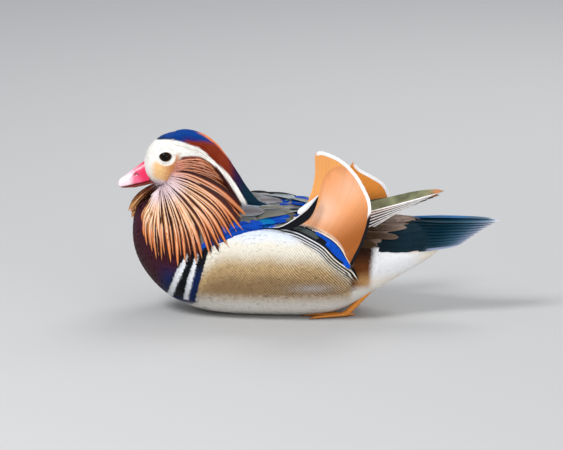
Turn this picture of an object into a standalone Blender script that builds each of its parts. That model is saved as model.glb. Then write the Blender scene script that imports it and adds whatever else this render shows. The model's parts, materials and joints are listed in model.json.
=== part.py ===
"""Mandarin duck, an adult drake in full plumage, life size, resting on its belly with the
feet tucked under.

All sizes are in millimetres and become metres when a mesh is made. The bill points to -X
and the tail to +X. The duck's left side is -Y, the floor is Z = 0, and the origin is the
middle of the flat of the belly.
"""

import math
import random

import bmesh
import bpy
import numpy as np
from mathutils import Vector
from mathutils.bvhtree import BVHTree

MM = 0.001
GAP = 0.35
SIDES = {"left": -1, "right": 1}
ACROSS = np.array([0.0, 1.0, 0.0])
UP = np.array([0.0, 0.0, 1.0])

# Torso, breast to vent: x, top, bottom, half width, height of the widest place as a
# share of the depth, fullness above it and fullness below it.
TORSO = np.array([
    (-145.5, 77, 70, 3, 0.50, 2.0, 2.0),
    (-143.5, 89, 57, 17, 0.50, 2.0, 2.0),
    (-138.5, 98, 44, 30, 0.50, 2.1, 2.0),
    (-130, 104, 31, 41, 0.50, 2.2, 2.0),
    (-118, 106, 19, 50, 0.50, 2.3, 2.1),
    (-103, 106, 9, 56.5, 0.50, 2.4, 2.1),
    (-84, 103.5, 2, 60.5, 0.51, 2.5, 2.2),
    (-60, 99, -1.5, 62.5, 0.52, 2.7, 2.3),
    (-34, 95.5, -2.4, 63.5, 0.53, 2.8, 2.3),
    (-8, 93.5, -2.4, 63.5, 0.54, 2.8, 2.3),
    (18, 92.5, -1.8, 61.5, 0.54, 2.7, 2.3),
    (42, 92, 1.5, 57.5, 0.53, 2.4, 2.3),
    (64, 91.5, 11, 51, 0.52, 2.1, 2.2),
    (84, 91, 24, 43, 0.48, 1.9, 2.1),
    (102, 90, 35.5, 34.5, 0.44, 1.7, 2.0),
    (118, 88.5, 45, 26.5, 0.42, 1.6, 2.0),
    (132, 87, 54.5, 19, 0.42, 1.6, 2.0),
    (143, 84.5, 64.5, 11.5, 0.45, 1.7, 2.0),
    (149, 80, 72, 4.5, 0.50, 2.0, 2.0),
])
TORSO_RINGS, TORSO_SIDES = 25, 26
TAIL_CUT = 97.0

# The flank's buff panel swells over the wing's lower edge: x and height of its upper edge.
FLANK_EDGE = np.array([(-78, 60), (-62, 74), (-40, 82.5), (-12, 86), (14, 80.5), (42, 66), (62, 49)])
FLANK_SWELL, FLANK_LOW, FLANK_SOFT = 4.2, 24.0, 5.0

# Neck: height, x of its middle, half length and half width.
NECK = np.array([
    (76, -90, 40, 40), (92, -89, 36, 34), (104, -89, 32, 28),
    (116, -90, 27, 23), (128, -94, 20, 18), (138, -96, 14, 12),
])
NECK_RINGS, NECK_SIDES = 5, 16

# Head before its turn: x, top, bottom, half width, widest height, fullness above and below.
HEAD = np.array([
    (-136.3, 137, 131, 3, 0.5, 2.0, 2.0),
    (-135.2, 141.5, 126, 8, 0.5, 2.0, 2.0),
    (-132.3, 149, 121.5, 12.2, 0.48, 2.0, 2.1),
    (-127, 156.5, 117.5, 15.4, 0.48, 2.0, 2.1),
    (-119, 162, 114, 17.8, 0.48, 2.1, 2.1),
    (-109, 165.3, 111, 19.4, 0.48, 2.1, 2.2),
    (-98, 166, 108, 20.2, 0.48, 2.1, 2.2),
    (-87, 163.6, 106, 19.8, 0.48, 2.1, 2.2),
    (-77, 158.5, 105, 18, 0.48, 2.0, 2.2),
    (-69, 151, 107, 14.8, 0.5, 2.0, 2.1),
    (-63, 141.5, 112, 9.5, 0.5, 2.0, 2.0),
    (-60.5, 131, 121, 3, 0.5, 2.0, 2.0),
])
HEAD_RINGS, HEAD_SIDES = 15, 24
HEAD_PIVOT, HEAD_TURN = -98.0, math.radians(12)

EYE_PLACE, EYE_RADIUS = (-117.0, 12.6, 146.0), 6.1
LID_LONG, LID_HIGH, LID_ROLL, LID_STEPS = 6.1, 5.0, 1.0, 14

# Bill in the head's frame: x, top, line of the mouth, half width, how hollow its sides are.
BILL = np.array([
    (-124, 142, 121.8, 7.6, 1.1), (-130, 140.6, 120.6, 7.6, 1.1), (-135, 138, 119.5, 7.5, 1.1),
    (-138.5, 135.8, 118.7, 7.2, 1.05), (-142.5, 133, 117.9, 6.7, 0.95), (-146.5, 129.8, 117, 6.3, 0.85),
    (-150, 127, 116.2, 6.1, 0.75), (-153.5, 124.4, 115.5, 5.9, 0.7), (-156.3, 122.4, 115.1, 4.9, 0.65),
    (-158, 120.4, 115.2, 2.9, 0.6), (-158.7, 118.6, 116, 1.0, 0.6),
])
LOWER_DEPTH, LOWER_END, LOWER_SHARE = 3.6, -156.0, 0.8
NOSTRIL = (-142.6, 5.2, 127.2)

# Ruff: roots on the cheek and tips on the breast, in the head's frame, from the nape
# round to the throat. The far side's foremost hackles flare ahead of the breast.
RUFF_ROOTS = np.array([
    (-84, 142), (-93, 144), (-101, 140), (-108, 133), (-113, 126), (-117, 121), (-119, 118),
])
RUFF_TIPS = {
    "left": np.array([
        (-42, 90), (-49, 79), (-59, 71), (-69, 65), (-80, 53), (-92, 48), (-104, 47),
        (-115, 49), (-124, 54), (-131, 62), (-136, 71), (-139, 82),
    ]),
    "right": np.array([
        (-44, 90), (-51, 79), (-60, 71), (-69, 65), (-80, 53), (-92, 48), (-104, 47),
        (-115, 50), (-124, 56), (-133, 65), (-141, 76), (-146, 89),
    ]),
}
RUFF_TIERS = (  # hackles in a side's tier, share of the full length, lift off the layer below
    (14, 1.0, 1.2), (9, 0.74, 4.6), (5, 0.5, 7.8),
)
LAYER = 1.7  # from one lock to its neighbour that lies over it
HACKLE_WIDTH, HACKLE_THICK, HACKLE_STEPS = 3.2, 1.5, 4

# Crest: its top line and the white brow line along its lower edge, both in the head's
# frame from the crown down the nape to the back; the brow line has a y as well.
CREST_LINE = np.array([
    (-113, 163), (-97, 166.6), (-81, 162.6), (-69, 154), (-59, 142), (-49, 127), (-38.5, 111.5),
    (-28.5, 101.5), (-18, 97.5),
])
BROW_LINE = np.array([
    (-109, 154.5, 16.5), (-98, 152, 18.5), (-86, 146.5, 19.5), (-75, 138.5, 20.5), (-65.5, 129, 21),
    (-57, 119, 21.5), (-49, 108, 21), (-42, 98, 19), (-37, 93.5, 17),
])
CREST_TIERS = ((3.5, 1.0), (2.5, 0.72), (1.5, 0.5))  # reach to each side in locks, share of the length
CREST_WIDTH, CREST_THICK, CREST_STEPS, CREST_SUNK, CREST_EASE = 5.4, 2.4, 4, 3.2, 1.1

# Sail: the shaft, and the free edge of the broad web above it, both from root to tip.
SAIL_SHAFT = np.array([
    (9.5, 44, 88.9), (28, 48, 84.3), (38, 50.5, 80.8), (46, 52.8, 76.2), (52.5, 55, 69.8),
    (57.5, 57, 61.8), (62, 58, 54.5),
])
SAIL_EDGE = {
    "left": np.array([
        (27.5, 158.7), (36, 160), (51, 154.5), (63.5, 144), (73, 130.5), (80, 114),
        (79.5, 97), (74, 78), (67.5, 64), (62.5, 54.5),
    ]),
    "right": np.array([
        (54, 132.5), (60, 130), (71, 118.5), (81.5, 108), (88, 97), (89, 86),
        (84, 75), (76, 66), (69, 59.5), (62.5, 54.5),
    ]),
}
SAIL_STEPS, SAIL_ROWS, SAIL_THICK = 11, 5, 0.9
SAIL_HOLLOW, SAIL_BOW = 3.0, 7.0
BLUE_WEB = 8.0
SAIL_LEAN = {"left": 0.10, "right": 0.05}

# Wing: coverts' front and rear, and the primaries.
PAD_SUNK = 2.0
WING_FRONT, WING_REAR = -74.0, 58.0
PRIMARY_ROOT = (26.0, 39.0, 88.5)
PRIMARY_TIP = {"left": (143.0, 13.0, 118.0), "right": (141.0, 9.0, 109.5)}
PRIMARY_COUNT, PRIMARY_HALF, PRIMARY_THICK = 6, 6.6, 0.75

COVER_PLUMES = (  # path and half width of the black and white feathers over each sail's base
    ([(-36, 47, 87), (-18, 49, 88.5), (-2, 50.5, 88.5), (10, 51.5, 92), (20, 52.5, 100),
      (27, 53, 109.5), (31.5, 53, 118.5)], 5.0),
    ([(-38, 50, 84.5), (-20, 52.5, 84.5), (-4, 54.5, 84), (10, 55.5, 85), (22, 56, 90)], 4.5),
)

SCAPULAR_FRONT, SCAPULAR_REAR, SCAPULAR_RISE = -70.0, 34.0, 7.5

# Tail: root and tip of the middle feather and of the outermost one.
TAIL_ROOT_MID, TAIL_TIP_MID = (100.0, 3.0, 88.0), (193.0, 2.6, 88.5)
TAIL_ROOT_OUT, TAIL_TIP_OUT = (98.0, 25.0, 68.0), (164.0, 21.0, 75.5)
TAIL_PAIRS, TAIL_HALF, TAIL_THICK = 6, 7.2, 0.8

LEG_HEEL, LEG_ANKLE = (82.0, 20.5, 32.0), (55.0, 24.0, 3.4)
TOES = ((41.0, 2.0), (36.0, 25.0), (33.0, -22.0))  # length, and angle out from straight ahead
TOE_RADIUS, TARSUS_RADIUS, WEB_THICK = 2.1, 2.5, 1.2

COLOURS = {  # colour, roughness
    "breast": ((0.10, 0.02, 0.04), 0.6),
    "head": ((0.55, 0.20, 0.05), 0.6),
    "neck": ((0.40, 0.13, 0.04), 0.6),
    "bill": ((0.75, 0.05, 0.09), 0.35),
    "eye": ((0.01, 0.008, 0.008), 0.05),
    "wing": ((0.12, 0.14, 0.13), 0.5),
    "scapular": ((0.16, 0.17, 0.16), 0.5),
    "sail": ((0.80, 0.30, 0.08), 0.55),
    "tail": ((0.02, 0.10, 0.14), 0.45),
    "leg": ((0.80, 0.30, 0.05), 0.5),
}


def clear_scene():
    for obj in list(bpy.data.objects):
        bpy.data.objects.remove(obj)


def material(name):
    if name in bpy.data.materials:
        return bpy.data.materials[name]
    colour, roughness = COLOURS[name]
    made = bpy.data.materials.new(name)
    made.use_nodes = True
    shader = made.node_tree.nodes["Principled BSDF"]
    shader.inputs["Base Color"].default_value = (*colour, 1)
    shader.inputs["Roughness"].default_value = roughness
    shader.inputs["Metallic"].default_value = 0.0
    return made


def make_object(name, form, finish="head"):
    """A mesh object from (points in millimetres, faces), smooth where it is round."""
    points, faces = form
    mesh = bpy.data.meshes.new(name)
    mesh.from_pydata([tuple(p) for p in np.asarray(points) * MM], [], [tuple(f) for f in faces])
    mesh.materials.append(material(finish))
    mesh.shade_smooth()
    mesh.set_sharp_from_angle(angle=math.radians(40))
    obj = bpy.data.objects.new(name, mesh)
    bpy.context.scene.collection.objects.link(obj)
    return obj


def form_of(obj):
    """(points in millimetres, faces) of an object's mesh."""
    points = np.array([v.co for v in obj.data.vertices]) / MM
    return points, [tuple(p.vertices) for p in obj.data.polygons]


def spline(rows, t):
    """A smooth curve through the rows, at t in steps of one row."""
    rows = np.asarray(rows, float)
    t = min(max(t, 0.0), len(rows) - 1.0)
    i = min(int(t), len(rows) - 2)
    f = t - i
    p1, p2 = rows[i], rows[i + 1]
    p0 = rows[i - 1] if i else 2 * p1 - p2
    p3 = rows[i + 2] if i + 2 < len(rows) else 2 * p2 - p1
    return 0.5 * (2 * p1 + (p2 - p0) * f + (2 * p0 - 5 * p1 + 4 * p2 - p3) * f**2
                  + (3 * p1 - p0 - 3 * p2 + p3) * f**3)


def along(rows, share):
    """The smooth curve through the rows, at a share of its rows from 0 to 1."""
    return spline(rows, share * (len(rows) - 1))


def smooth_step(value):
    value = min(max(value, 0.0), 1.0)
    return value * value * (3 - 2 * value)


def unit(vector):
    return vector / np.linalg.norm(vector)


def row_at(rows, x):
    """The row number where the table's first column reaches x."""
    fine = np.linspace(0, len(rows) - 1, 400)
    return float(np.interp(x, [spline(rows, t)[0] for t in fine], fine))


def section(row, angle):
    """(y, z) on an egg-shaped section, angle from the top towards +Y."""
    _, top, bottom, half, share, above, below = row
    widest = bottom + share * (top - bottom)
    s, c = math.sin(angle), math.cos(angle)
    power = 2 / (above if c > 0 else below)
    depth = top - widest if c > 0 else widest - bottom
    y = half * math.copysign(abs(s) ** power, s)
    return y, widest + depth * math.copysign(abs(c) ** power, c)


def flank_swell(x, z):
    """How far the flank's feathers stand out over the wing's edge."""
    if not FLANK_EDGE[0, 0] < x < FLANK_EDGE[-1, 0] + FLANK_SOFT:
        return 0.0
    edge = float(np.interp(x, FLANK_EDGE[:, 0], FLANK_EDGE[:, 1]))
    ends = smooth_step((x - FLANK_EDGE[0, 0]) / 10) * smooth_step((FLANK_EDGE[-1, 0] + FLANK_SOFT - x) / 16)
    below = smooth_step((edge - z) / FLANK_SOFT)
    return FLANK_SWELL * ends * below * smooth_step((z - FLANK_LOW) / 26)


def torso_row(x):
    return spline(TORSO, row_at(TORSO, x))


def torso_point(row, angle):
    """A point on the torso, with the flank's swell and the flat that it rests on."""
    x = row[0]
    y, z = section(row, angle)
    swell = flank_swell(x, z)
    y += math.copysign(swell, y) if abs(y) > 1e-6 else 0.0
    z += 0.35 * swell
    return np.array([x, y, max(z, 0.0)])


def torso_spot(x, angle, side):
    """(point, outward normal) on one side of the torso."""
    step = 0.5
    here = torso_point(torso_row(x), angle)
    ahead = torso_point(torso_row(x + step), angle)
    lower = torso_point(torso_row(x), angle + 0.02)
    normal = unit(np.cross(lower - here, ahead - here))
    normal = -normal if normal[1] < 0 and normal[2] < 0 else normal
    flip = np.array([1, side, 1])
    return here * flip, normal * flip


def angle_at_height(x, z):
    """The section angle at which one side of the torso is at height z."""
    row = torso_row(x)
    angles = np.linspace(0.05, math.pi - 0.05, 200)
    heights = [section(row, a)[1] for a in angles]
    return float(np.interp(-z, -np.array(heights), angles))


def tube_faces(rings, sides):
    """Triangles of a closed tube: ring points first, then the two end points."""
    faces = []
    for i in range(rings - 1):
        for j in range(sides):
            a, b = i * sides + j, i * sides + (j + 1) % sides
            c, d = a + sides, b + sides
            faces += [(a, b, d), (a, d, c)]
    first, last = rings * sides, rings * sides + 1
    for j in range(sides):
        k = (j + 1) % sides
        faces.append((first, k, j))
        faces.append((last, (rings - 1) * sides + j, (rings - 1) * sides + k))
    return faces


def tube(rings):
    """A closed form through rings of points, each as long as the others."""
    rings = [np.array(r) for r in rings]
    points = np.concatenate([*rings, [rings[0].mean(0)], [rings[-1].mean(0)]])
    faces = tube_faces(len(rings), len(rings[0]))
    return facing_out(points, faces)


def facing_out(points, faces):
    """The form with its faces turned outwards."""
    corners = np.asarray(points)[np.array(faces)]
    volume = np.einsum("ij,ij->i", corners[:, 0], np.cross(corners[:, 1], corners[:, 2])).sum()
    return (points, faces) if volume > 0 else (points, [f[::-1] for f in faces])


def egg_form(table, rings, sides, start=None, end=None, point=None):
    """The rounded form that a table of egg-shaped sections gives, cut flat at the ends."""
    point = point or (lambda row, angle: np.array([row[0], *section(row, angle)]))
    first = 0.0 if start is None else row_at(table, start)
    last = len(table) - 1.0 if end is None else row_at(table, end)
    places = [first + (last - first) * i / (rings - 1) for i in range(rings)]
    angles = [2 * math.pi * j / sides for j in range(sides)]
    return tube([[point(spline(table, t), a) for a in angles] for t in places])


def vane(path, across, halves, thick, crown=0.0):
    """A feather's flat web: closed, alike on both faces, crowned along its shaft.

    halves gives the half width on each side of the shaft at each step of the path.
    """
    path, across = np.array(path), np.array(across)
    points = []
    tangents = np.gradient(path, axis=0)
    for p, a, t, (left, right), k in zip(path, across, tangents, halves, thick, strict=True):
        normal = unit(np.cross(t, a))
        row = [p - a * left, p + normal * crown * (left + right), p + a * right]
        points += [q + normal * k / 2 for q in row] + [q - normal * k / 2 for q in row]
    faces = []
    for i in range(len(path) - 1):
        a, b = 6 * i, 6 * (i + 1)
        for j in range(2):
            faces += [(a + j, a + j + 1, b + j + 1), (a + j, b + j + 1, b + j)]
            faces += [(b + j + 4, a + j + 4, a + j + 3), (b + j + 3, b + j + 4, a + j + 3)]
        faces += [(a, b, b + 3), (a, b + 3, a + 3)]
        faces += [(a + 2, a + 5, b + 5), (a + 2, b + 5, b + 2)]
    end = 6 * (len(path) - 1)
    for j in range(2):
        faces += [(j, j + 3, j + 4), (j, j + 4, j + 1)]
        faces += [(end + j, end + j + 4, end + j + 3), (end + j, end + j + 1, end + j + 4)]
    return facing_out(points, faces)


def lock(path, across, half, thick):
    """A flat, tapered lock along a path, with a low ridge on its outer face and a pointed tip."""
    path, across = np.array(path), np.array(across)
    tangents = np.gradient(path, axis=0)
    points, steps = [], len(path) - 1
    for i in range(steps):
        share = i / steps
        wide = half * (0.55 + 1.3 * share * (1 - share) ** 0.5 + 0.2 * (1 - share)) * (1 - share**4)
        normal = unit(np.cross(tangents[i], across[i]))
        a = unit(np.cross(normal, tangents[i]))
        deep = thick * (1 - 0.5 * share) / 2
        points += [path[i] - a * wide - normal * deep, path[i] + normal * deep,
                   path[i] + a * wide - normal * deep]
    points.append(path[-1])
    faces = [(0, 1, 2)]
    for i in range(steps - 1):
        for j in range(3):
            a, b = 3 * i + j, 3 * i + (j + 1) % 3
            faces += [(b, a, a + 3), (b, a + 3, b + 3)]
    last = 3 * (steps - 1)
    faces += [(last + (j + 1) % 3, last + j, last + 3) for j in range(3)]
    return facing_out(points, faces)


def ball(centre, radii, sides=14, rings=8):
    rows = []
    for i in range(1, rings):
        polar = math.pi * i / rings
        rows.append([
            np.array(centre) + np.array(radii) * (math.sin(polar) * math.cos(turn), math.cos(polar),
                                                  math.sin(polar) * math.sin(turn))
            for turn in (2 * math.pi * j / sides for j in range(sides))
        ])
    points, faces = tube(rows)
    points = np.array(points)
    points[-2] = np.array(centre) + np.array(radii) * (0, 1, 0)
    points[-1] = np.array(centre) - np.array(radii) * (0, 1, 0)
    return facing_out(points, faces)


def block(low, high):
    """A box between two corners."""
    corners = [(x, y, z) for x in (low[0], high[0]) for y in (low[1], high[1]) for z in (low[2], high[2])]
    faces = [(0, 1, 3), (0, 3, 2), (4, 6, 7), (4, 7, 5), (0, 4, 5), (0, 5, 1),
             (2, 3, 7), (2, 7, 6), (0, 2, 6), (0, 6, 4), (1, 5, 7), (1, 7, 3)]
    return facing_out(corners, faces)


def pipe(path, radii, sides=5):
    """A round tapered limb along a path."""
    path = np.array(path, float)
    tangents = np.gradient(path, axis=0)
    rings = []
    for p, t, r in zip(path, tangents, radii, strict=True):
        side = unit(np.cross(t, UP))
        top = unit(np.cross(side, t))
        ring = [p + r * (math.cos(a) * side + math.sin(a) * top)
                for a in (2 * math.pi * (j + 0.5) / sides for j in range(sides))]
        rings.append(ring)
    return tube(rings)


def turned(form):
    """A form of the head's own frame, with the head's turn to its left."""
    points = np.array(form[0]) - (HEAD_PIVOT, 0, 0)
    c, s = math.cos(HEAD_TURN), math.sin(HEAD_TURN)
    turn = np.array([(c, -s, 0), (s, c, 0), (0, 0, 1)])
    return points @ turn.T + (HEAD_PIVOT, 0, 0), form[1]


def turned_points(points):
    return turned((points, []))[0]


def eased(points, shares):
    """Points of the head's frame whose turn fades along the crest, which hangs straight."""
    out = []
    for (x, y, z), share in zip(points, shares, strict=True):
        turn = HEAD_TURN * (1 - CREST_EASE * smooth_step(share))
        c, s = math.cos(turn), math.sin(turn)
        out.append((HEAD_PIVOT + (x - HEAD_PIVOT) * c - y * s, (x - HEAD_PIVOT) * s + y * c, z))
    return np.array(out)


def turned_vectors(vectors):
    return turned_points(np.array(vectors) + (HEAD_PIVOT, 0, 0)) - (HEAD_PIVOT, 0, 0)


def mirrored(form, side):
    """The form of the +Y side, or its mirror image for the -Y side."""
    if side > 0:
        return form
    return np.array(form[0]) * (1, -1, 1), [f[::-1] for f in form[1]]


def largest_shell(obj):
    """Keeps only the closed surface that holds the most, so that the node is one body."""
    work = bmesh.new()
    work.from_mesh(obj.data)
    bmesh.ops.remove_doubles(work, verts=work.verts, dist=0.002 * MM)
    bmesh.ops.triangulate(work, faces=work.faces)
    left, shells = set(work.faces), []
    while left:
        shell, todo = set(), [left.pop()]
        while todo:
            face = todo.pop()
            shell.add(face)
            for edge in face.edges:
                for other in edge.link_faces:
                    if other in left:
                        left.remove(other)
                        todo.append(other)
        corners = [[v.co for v in f.verts] for f in shell]
        shells.append((abs(sum(a.dot(b.cross(c)) for a, b, c in corners)), shell))
    shells.sort(key=lambda pair: pair[0])
    bmesh.ops.delete(work, geom=[f for _, shell in shells[:-1] for f in shell], context="FACES")
    work.to_mesh(obj.data)
    work.free()


def combine(obj, forms, operation="UNION", solver="MANIFOLD"):
    """Joins closed forms to the object, or cuts them from it, in one Boolean.

    EXACT takes minutes on this many crossing feathers, so MANIFOLD joins them.
    """
    if not forms:
        return obj
    pieces = bpy.data.collections.new("pieces")
    bpy.context.scene.collection.children.link(pieces)
    for form in forms:
        piece = make_object("piece", form)
        bpy.context.scene.collection.objects.unlink(piece)
        pieces.objects.link(piece)
    join = obj.modifiers.new("join", "BOOLEAN")
    join.operation, join.solver, join.operand_type = operation, solver, "COLLECTION"
    join.collection = pieces
    bpy.context.view_layer.update()
    graph = bpy.context.evaluated_depsgraph_get()
    joined = bpy.data.meshes.new_from_object(obj.evaluated_get(graph))
    obj.modifiers.clear()
    obj.data = joined
    for piece in list(pieces.objects):
        bpy.data.objects.remove(piece)
    bpy.data.collections.remove(pieces)
    largest_shell(obj)
    return obj


def grown(form, distance):
    """The form with every point moved out along its normal."""
    obj = make_object("grown", form)
    points = np.array(form[0]) + np.array([v.normal for v in obj.data.vertices]) * distance
    bpy.data.objects.remove(obj)
    return points, form[1]


def surface(*forms):
    """A tree of the forms' surfaces, for finding where they lie."""
    points, faces = [], []
    for form_points, form_faces in forms:
        faces += [tuple(i + len(points) for i in f) for f in form_faces]
        points += [Vector(p) for p in form_points]
    return BVHTree.FromPolygons(points, faces)


def hit_from(tree, point, outward, reach=150.0):
    """Where a line from outside, through the point, first meets the surfaces, or None."""
    start = Vector(point) + Vector(outward) * reach
    place = tree.ray_cast(start, -Vector(outward), 2 * reach)[0]
    return None if place is None else np.array(place)


def clear_of(tree, point, lift):
    """The point, moved out until it stands clear of the surfaces by the lift."""
    for _ in range(3):
        place, normal, _, _ = tree.find_nearest(Vector(point))
        short = lift - (Vector(point) - place).dot(normal)
        if short > 0:
            point = np.array(point) + np.array(normal) * short
    return point


def settled(tree, path, lifts, fixed=1):
    """The path with its points, and the middles between them, clear of the surfaces."""
    path = [np.array(p) for p in path]
    for i in range(fixed, len(path)):
        path[i] = clear_of(tree, path[i], lifts[i])
    for i in range(fixed, len(path) - 1):
        middle = (path[i] + path[i + 1]) / 2
        moved = clear_of(tree, middle, (lifts[i] + lifts[i + 1]) / 2) - middle
        path[i], path[i + 1] = path[i] + moved * 0.9, path[i + 1] + moved * 0.9
    return np.array(path)


def sheet(top, bottom):
    """A closed form between two grids of points, one lying over the other."""
    top, bottom = np.array(top), np.array(bottom)
    steps, wide = top.shape[0] - 1, top.shape[1]
    count = top.shape[0] * wide
    faces = []
    for i in range(steps):
        for j in range(wide - 1):
            a, b = i * wide + j, i * wide + j + 1
            c, d = a + wide, b + wide
            faces += [(a, b, d), (a, d, c)]
            faces += [(a + count, d + count, b + count), (a + count, c + count, d + count)]
    rim = list(range(wide - 1)) + [i * wide + wide - 1 for i in range(steps)]
    rim += [steps * wide + j for j in range(wide - 1, 0, -1)] + [i * wide for i in range(steps, 0, -1)]
    for a, b in zip(rim, rim[1:] + rim[:1], strict=True):
        faces += [(a, a + count, b + count), (a, b + count, b)]
    return facing_out(np.concatenate([top.reshape(-1, 3), bottom.reshape(-1, 3)]), faces)


def grid_normals(grid):
    """Unit normals of a grid of points."""
    normals = np.cross(np.gradient(grid, axis=0), np.gradient(grid, axis=1))
    return normals / np.maximum(np.linalg.norm(normals, axis=2, keepdims=True), 1e-9)


def patch(front, rear, inner, outer, rise, side, steps=9, rows=4):
    """A pad that lies on the torso between two section angles, thickest where rise says."""
    top, bottom = [], []
    for i in range(steps + 1):
        u = i / steps
        x = front + (rear - front) * u
        spots = [(j / rows, *torso_spot(x, inner(u) + (outer(u) - inner(u)) * j / rows, side))
                 for j in range(rows + 1)]
        bottom.append([spot - normal * PAD_SUNK for _, spot, normal in spots])
        top.append([spot + normal * (GAP + rise(u, v)) for v, spot, normal in spots])
    return sheet(top, bottom)


def torso_form():
    return egg_form(TORSO, TORSO_RINGS, TORSO_SIDES, end=TAIL_CUT - GAP / 2, point=torso_point)


def neck_form():
    rings = []
    for i in range(NECK_RINGS):
        z, x, long, wide = along(NECK, i / (NECK_RINGS - 1))
        rings.append([(x + long * math.cos(a), wide * math.sin(a), z)
                      for a in (2 * math.pi * j / NECK_SIDES for j in range(NECK_SIDES))])
    return tube(rings)


def head_form():
    return egg_form(HEAD, HEAD_RINGS, HEAD_SIDES)


def lid_form(side):
    """The rim of the eyelids, a flat ring round the eye."""
    x, y, z = EYE_PLACE
    rings = []
    for i in range(LID_STEPS):
        turn = 2 * math.pi * i / LID_STEPS
        middle = np.array([x + LID_LONG * math.cos(turn), y + 4.4, z + LID_HIGH * math.sin(turn)])
        out = unit(np.array([math.cos(turn), 0, math.sin(turn)]))
        rings.append([middle + LID_ROLL * (math.cos(a) * out + 1.6 * math.sin(a) * ACROSS)
                      for a in (2 * math.pi * j / 6 for j in range(6))])
    points = np.concatenate(rings)
    faces = []
    for i in range(LID_STEPS):
        for j in range(6):
            a, b = 6 * i + j, 6 * i + (j + 1) % 6
            c, d = (a + 6) % (6 * LID_STEPS), (b + 6) % (6 * LID_STEPS)
            faces += [(a, b, d), (a, d, c)]
    return mirrored(facing_out(points, faces), side)


def ruff_path(fan, length, name, tree, lift):
    """A hackle's path: it leaves the cheek, arches out and lies over the neck and breast."""
    side = SIDES[name]
    lean = along([(0.3, 0.7, 0.65), (0.1, 0.97, 0.2), (0, 1, 0.05), (-0.5, 0.85, 0.1)], fan)
    out = turned_vectors([(lean[0], side * lean[1], lean[2])])[0]
    out = unit(out)
    across = turned_vectors([(0, side, 0)])[0]
    root, tip = along(RUFF_ROOTS, fan), along(RUFF_TIPS[name], fan)
    tip = root + (tip - root) * length
    start, end = turned_points([(root[0], side * 21, root[1]), (tip[0], side * 33, tip[1])])
    skin, rest = hit_from(tree, start, across), hit_from(tree, end, across)
    start = start if skin is None else skin - across * 2.0
    end = end if rest is None else rest + across * lift
    bend = (start + end) / 2 + out * (0.17 * np.linalg.norm(end - start) + lift)
    shares = [i / HACKLE_STEPS for i in range(HACKLE_STEPS + 1)]
    path = [start * (1 - t) ** 2 + 2 * bend * t * (1 - t) + end * t**2 for t in shares]
    path = settled(tree, path, [GAP + HACKLE_THICK / 2 + lift * min(1, 2 * t) for t in shares])
    return path, unit(np.cross(out, unit(end - start)))


def ruff(name, tree, draw):
    """The hackles of one cheek, in tiers that fan from the nape round to the throat."""
    made = []
    for count, length, lift in RUFF_TIERS:
        for i in range(count):
            fan = (i + 0.5 + draw.uniform(-0.15, 0.15)) / count
            reach = length * draw.uniform(0.95, 1.04)
            width = HACKLE_WIDTH * draw.uniform(0.9, 1.12)
            path, across = ruff_path(fan, reach, name, tree, lift + LAYER * (i % 2))
            made.append(lock(path, [across] * len(path), width, HACKLE_THICK))
    return made


def crest_point(share, side_share, sunk):
    """A place on the crest's rounded veil, side_share from -1 to 1 across it."""
    x, z = along(CREST_LINE, share)
    low_x, low_z, wide = along(BROW_LINE, share)
    turn = side_share * math.pi / 2
    drop = 1 - math.cos(turn)
    inward = 1 - sunk / 20
    return ((x + (low_x - x) * drop - sunk * 0.5 * (1 - drop)), wide * math.sin(turn) * inward,
            z + (low_z - z) * drop - sunk * 0.85 * (1 - drop))


def crest_path(side_share, length, tree, under=0.0):
    """A crest feather's path, rooted in the crown and out at the surface at its tip."""
    start = max(0.0, length - 0.78)
    shares = [start + (length - start) * i / CREST_STEPS for i in range(CREST_STEPS + 1)]
    shares = [share * (1 - 0.1 * side_share**2) for share in shares]
    path = [crest_point(share, side_share, under + CREST_SUNK * (1 - (share - start) / (length - start)))
            for share in shares]
    path = eased(path, [max(0, (share - 0.35) / 0.6) for share in shares])
    loose = next(i for i, p in enumerate([*path, (0, 0, 0)]) if p[0] > -68)
    return settled(tree, path, [GAP + CREST_THICK / 2 + 0.2] * len(path), max(1, loose))


def crest(tree, draw):
    """Crown and nape feathers that hang down to the back, the middle ones longest."""
    made = []
    for reach, length in CREST_TIERS:
        count = int(2 * reach) + 1
        for i in range(count):
            share = (2 * i / (count - 1) - 1) * min(1.0, reach / 3.5)
            path = crest_path(share, length * draw.uniform(0.98, 1.01), tree, LAYER * (i % 2))
            turn = share * math.pi / 2
            across = turned_vectors([(0, math.cos(turn), -math.sin(turn))] * len(path))
            made.append(lock(path, across, CREST_WIDTH, CREST_THICK))
    return made


def upper_bill():
    rings = []
    for i in range(11):
        x, top, mouth, half, hollow = along(BILL, i / 10)
        low = mouth + GAP / 2
        ring = [(x, half * math.cos(a), low + 0.5 + (top - low - 0.5) * math.sin(a) ** hollow)
                for a in (math.pi * (0.001 + 0.998 * j / 8) for j in range(9))]
        rings.append(ring + [(x, -half * 0.75, low), (x, half * 0.75, low)])
    return tube(rings)


def lower_bill():
    rings = []
    for i in range(9):
        x, _, mouth, half, _ = spline(BILL, float(i))
        high = mouth - GAP / 2
        deep = LOWER_DEPTH * min(1, max(0.22, 0.22 + (x - LOWER_END) / 16))
        wide = half * LOWER_SHARE * (1 if i < 8 else 0.7)
        ring = [(x, wide * math.cos(a), high - deep * math.sin(a) ** 0.8)
                for a in (math.pi * (0.001 + 0.998 * j / 6) for j in range(7))]
        rings.append(ring)
    return tube(rings)


def nostril(side):
    """The cutter of one nostril: an oval slit high on the bill's side."""
    x, y, z = NOSTRIL
    return ball((x, side * y, z), (2.3, 1.9, 1.0), 8, 6)


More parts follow.
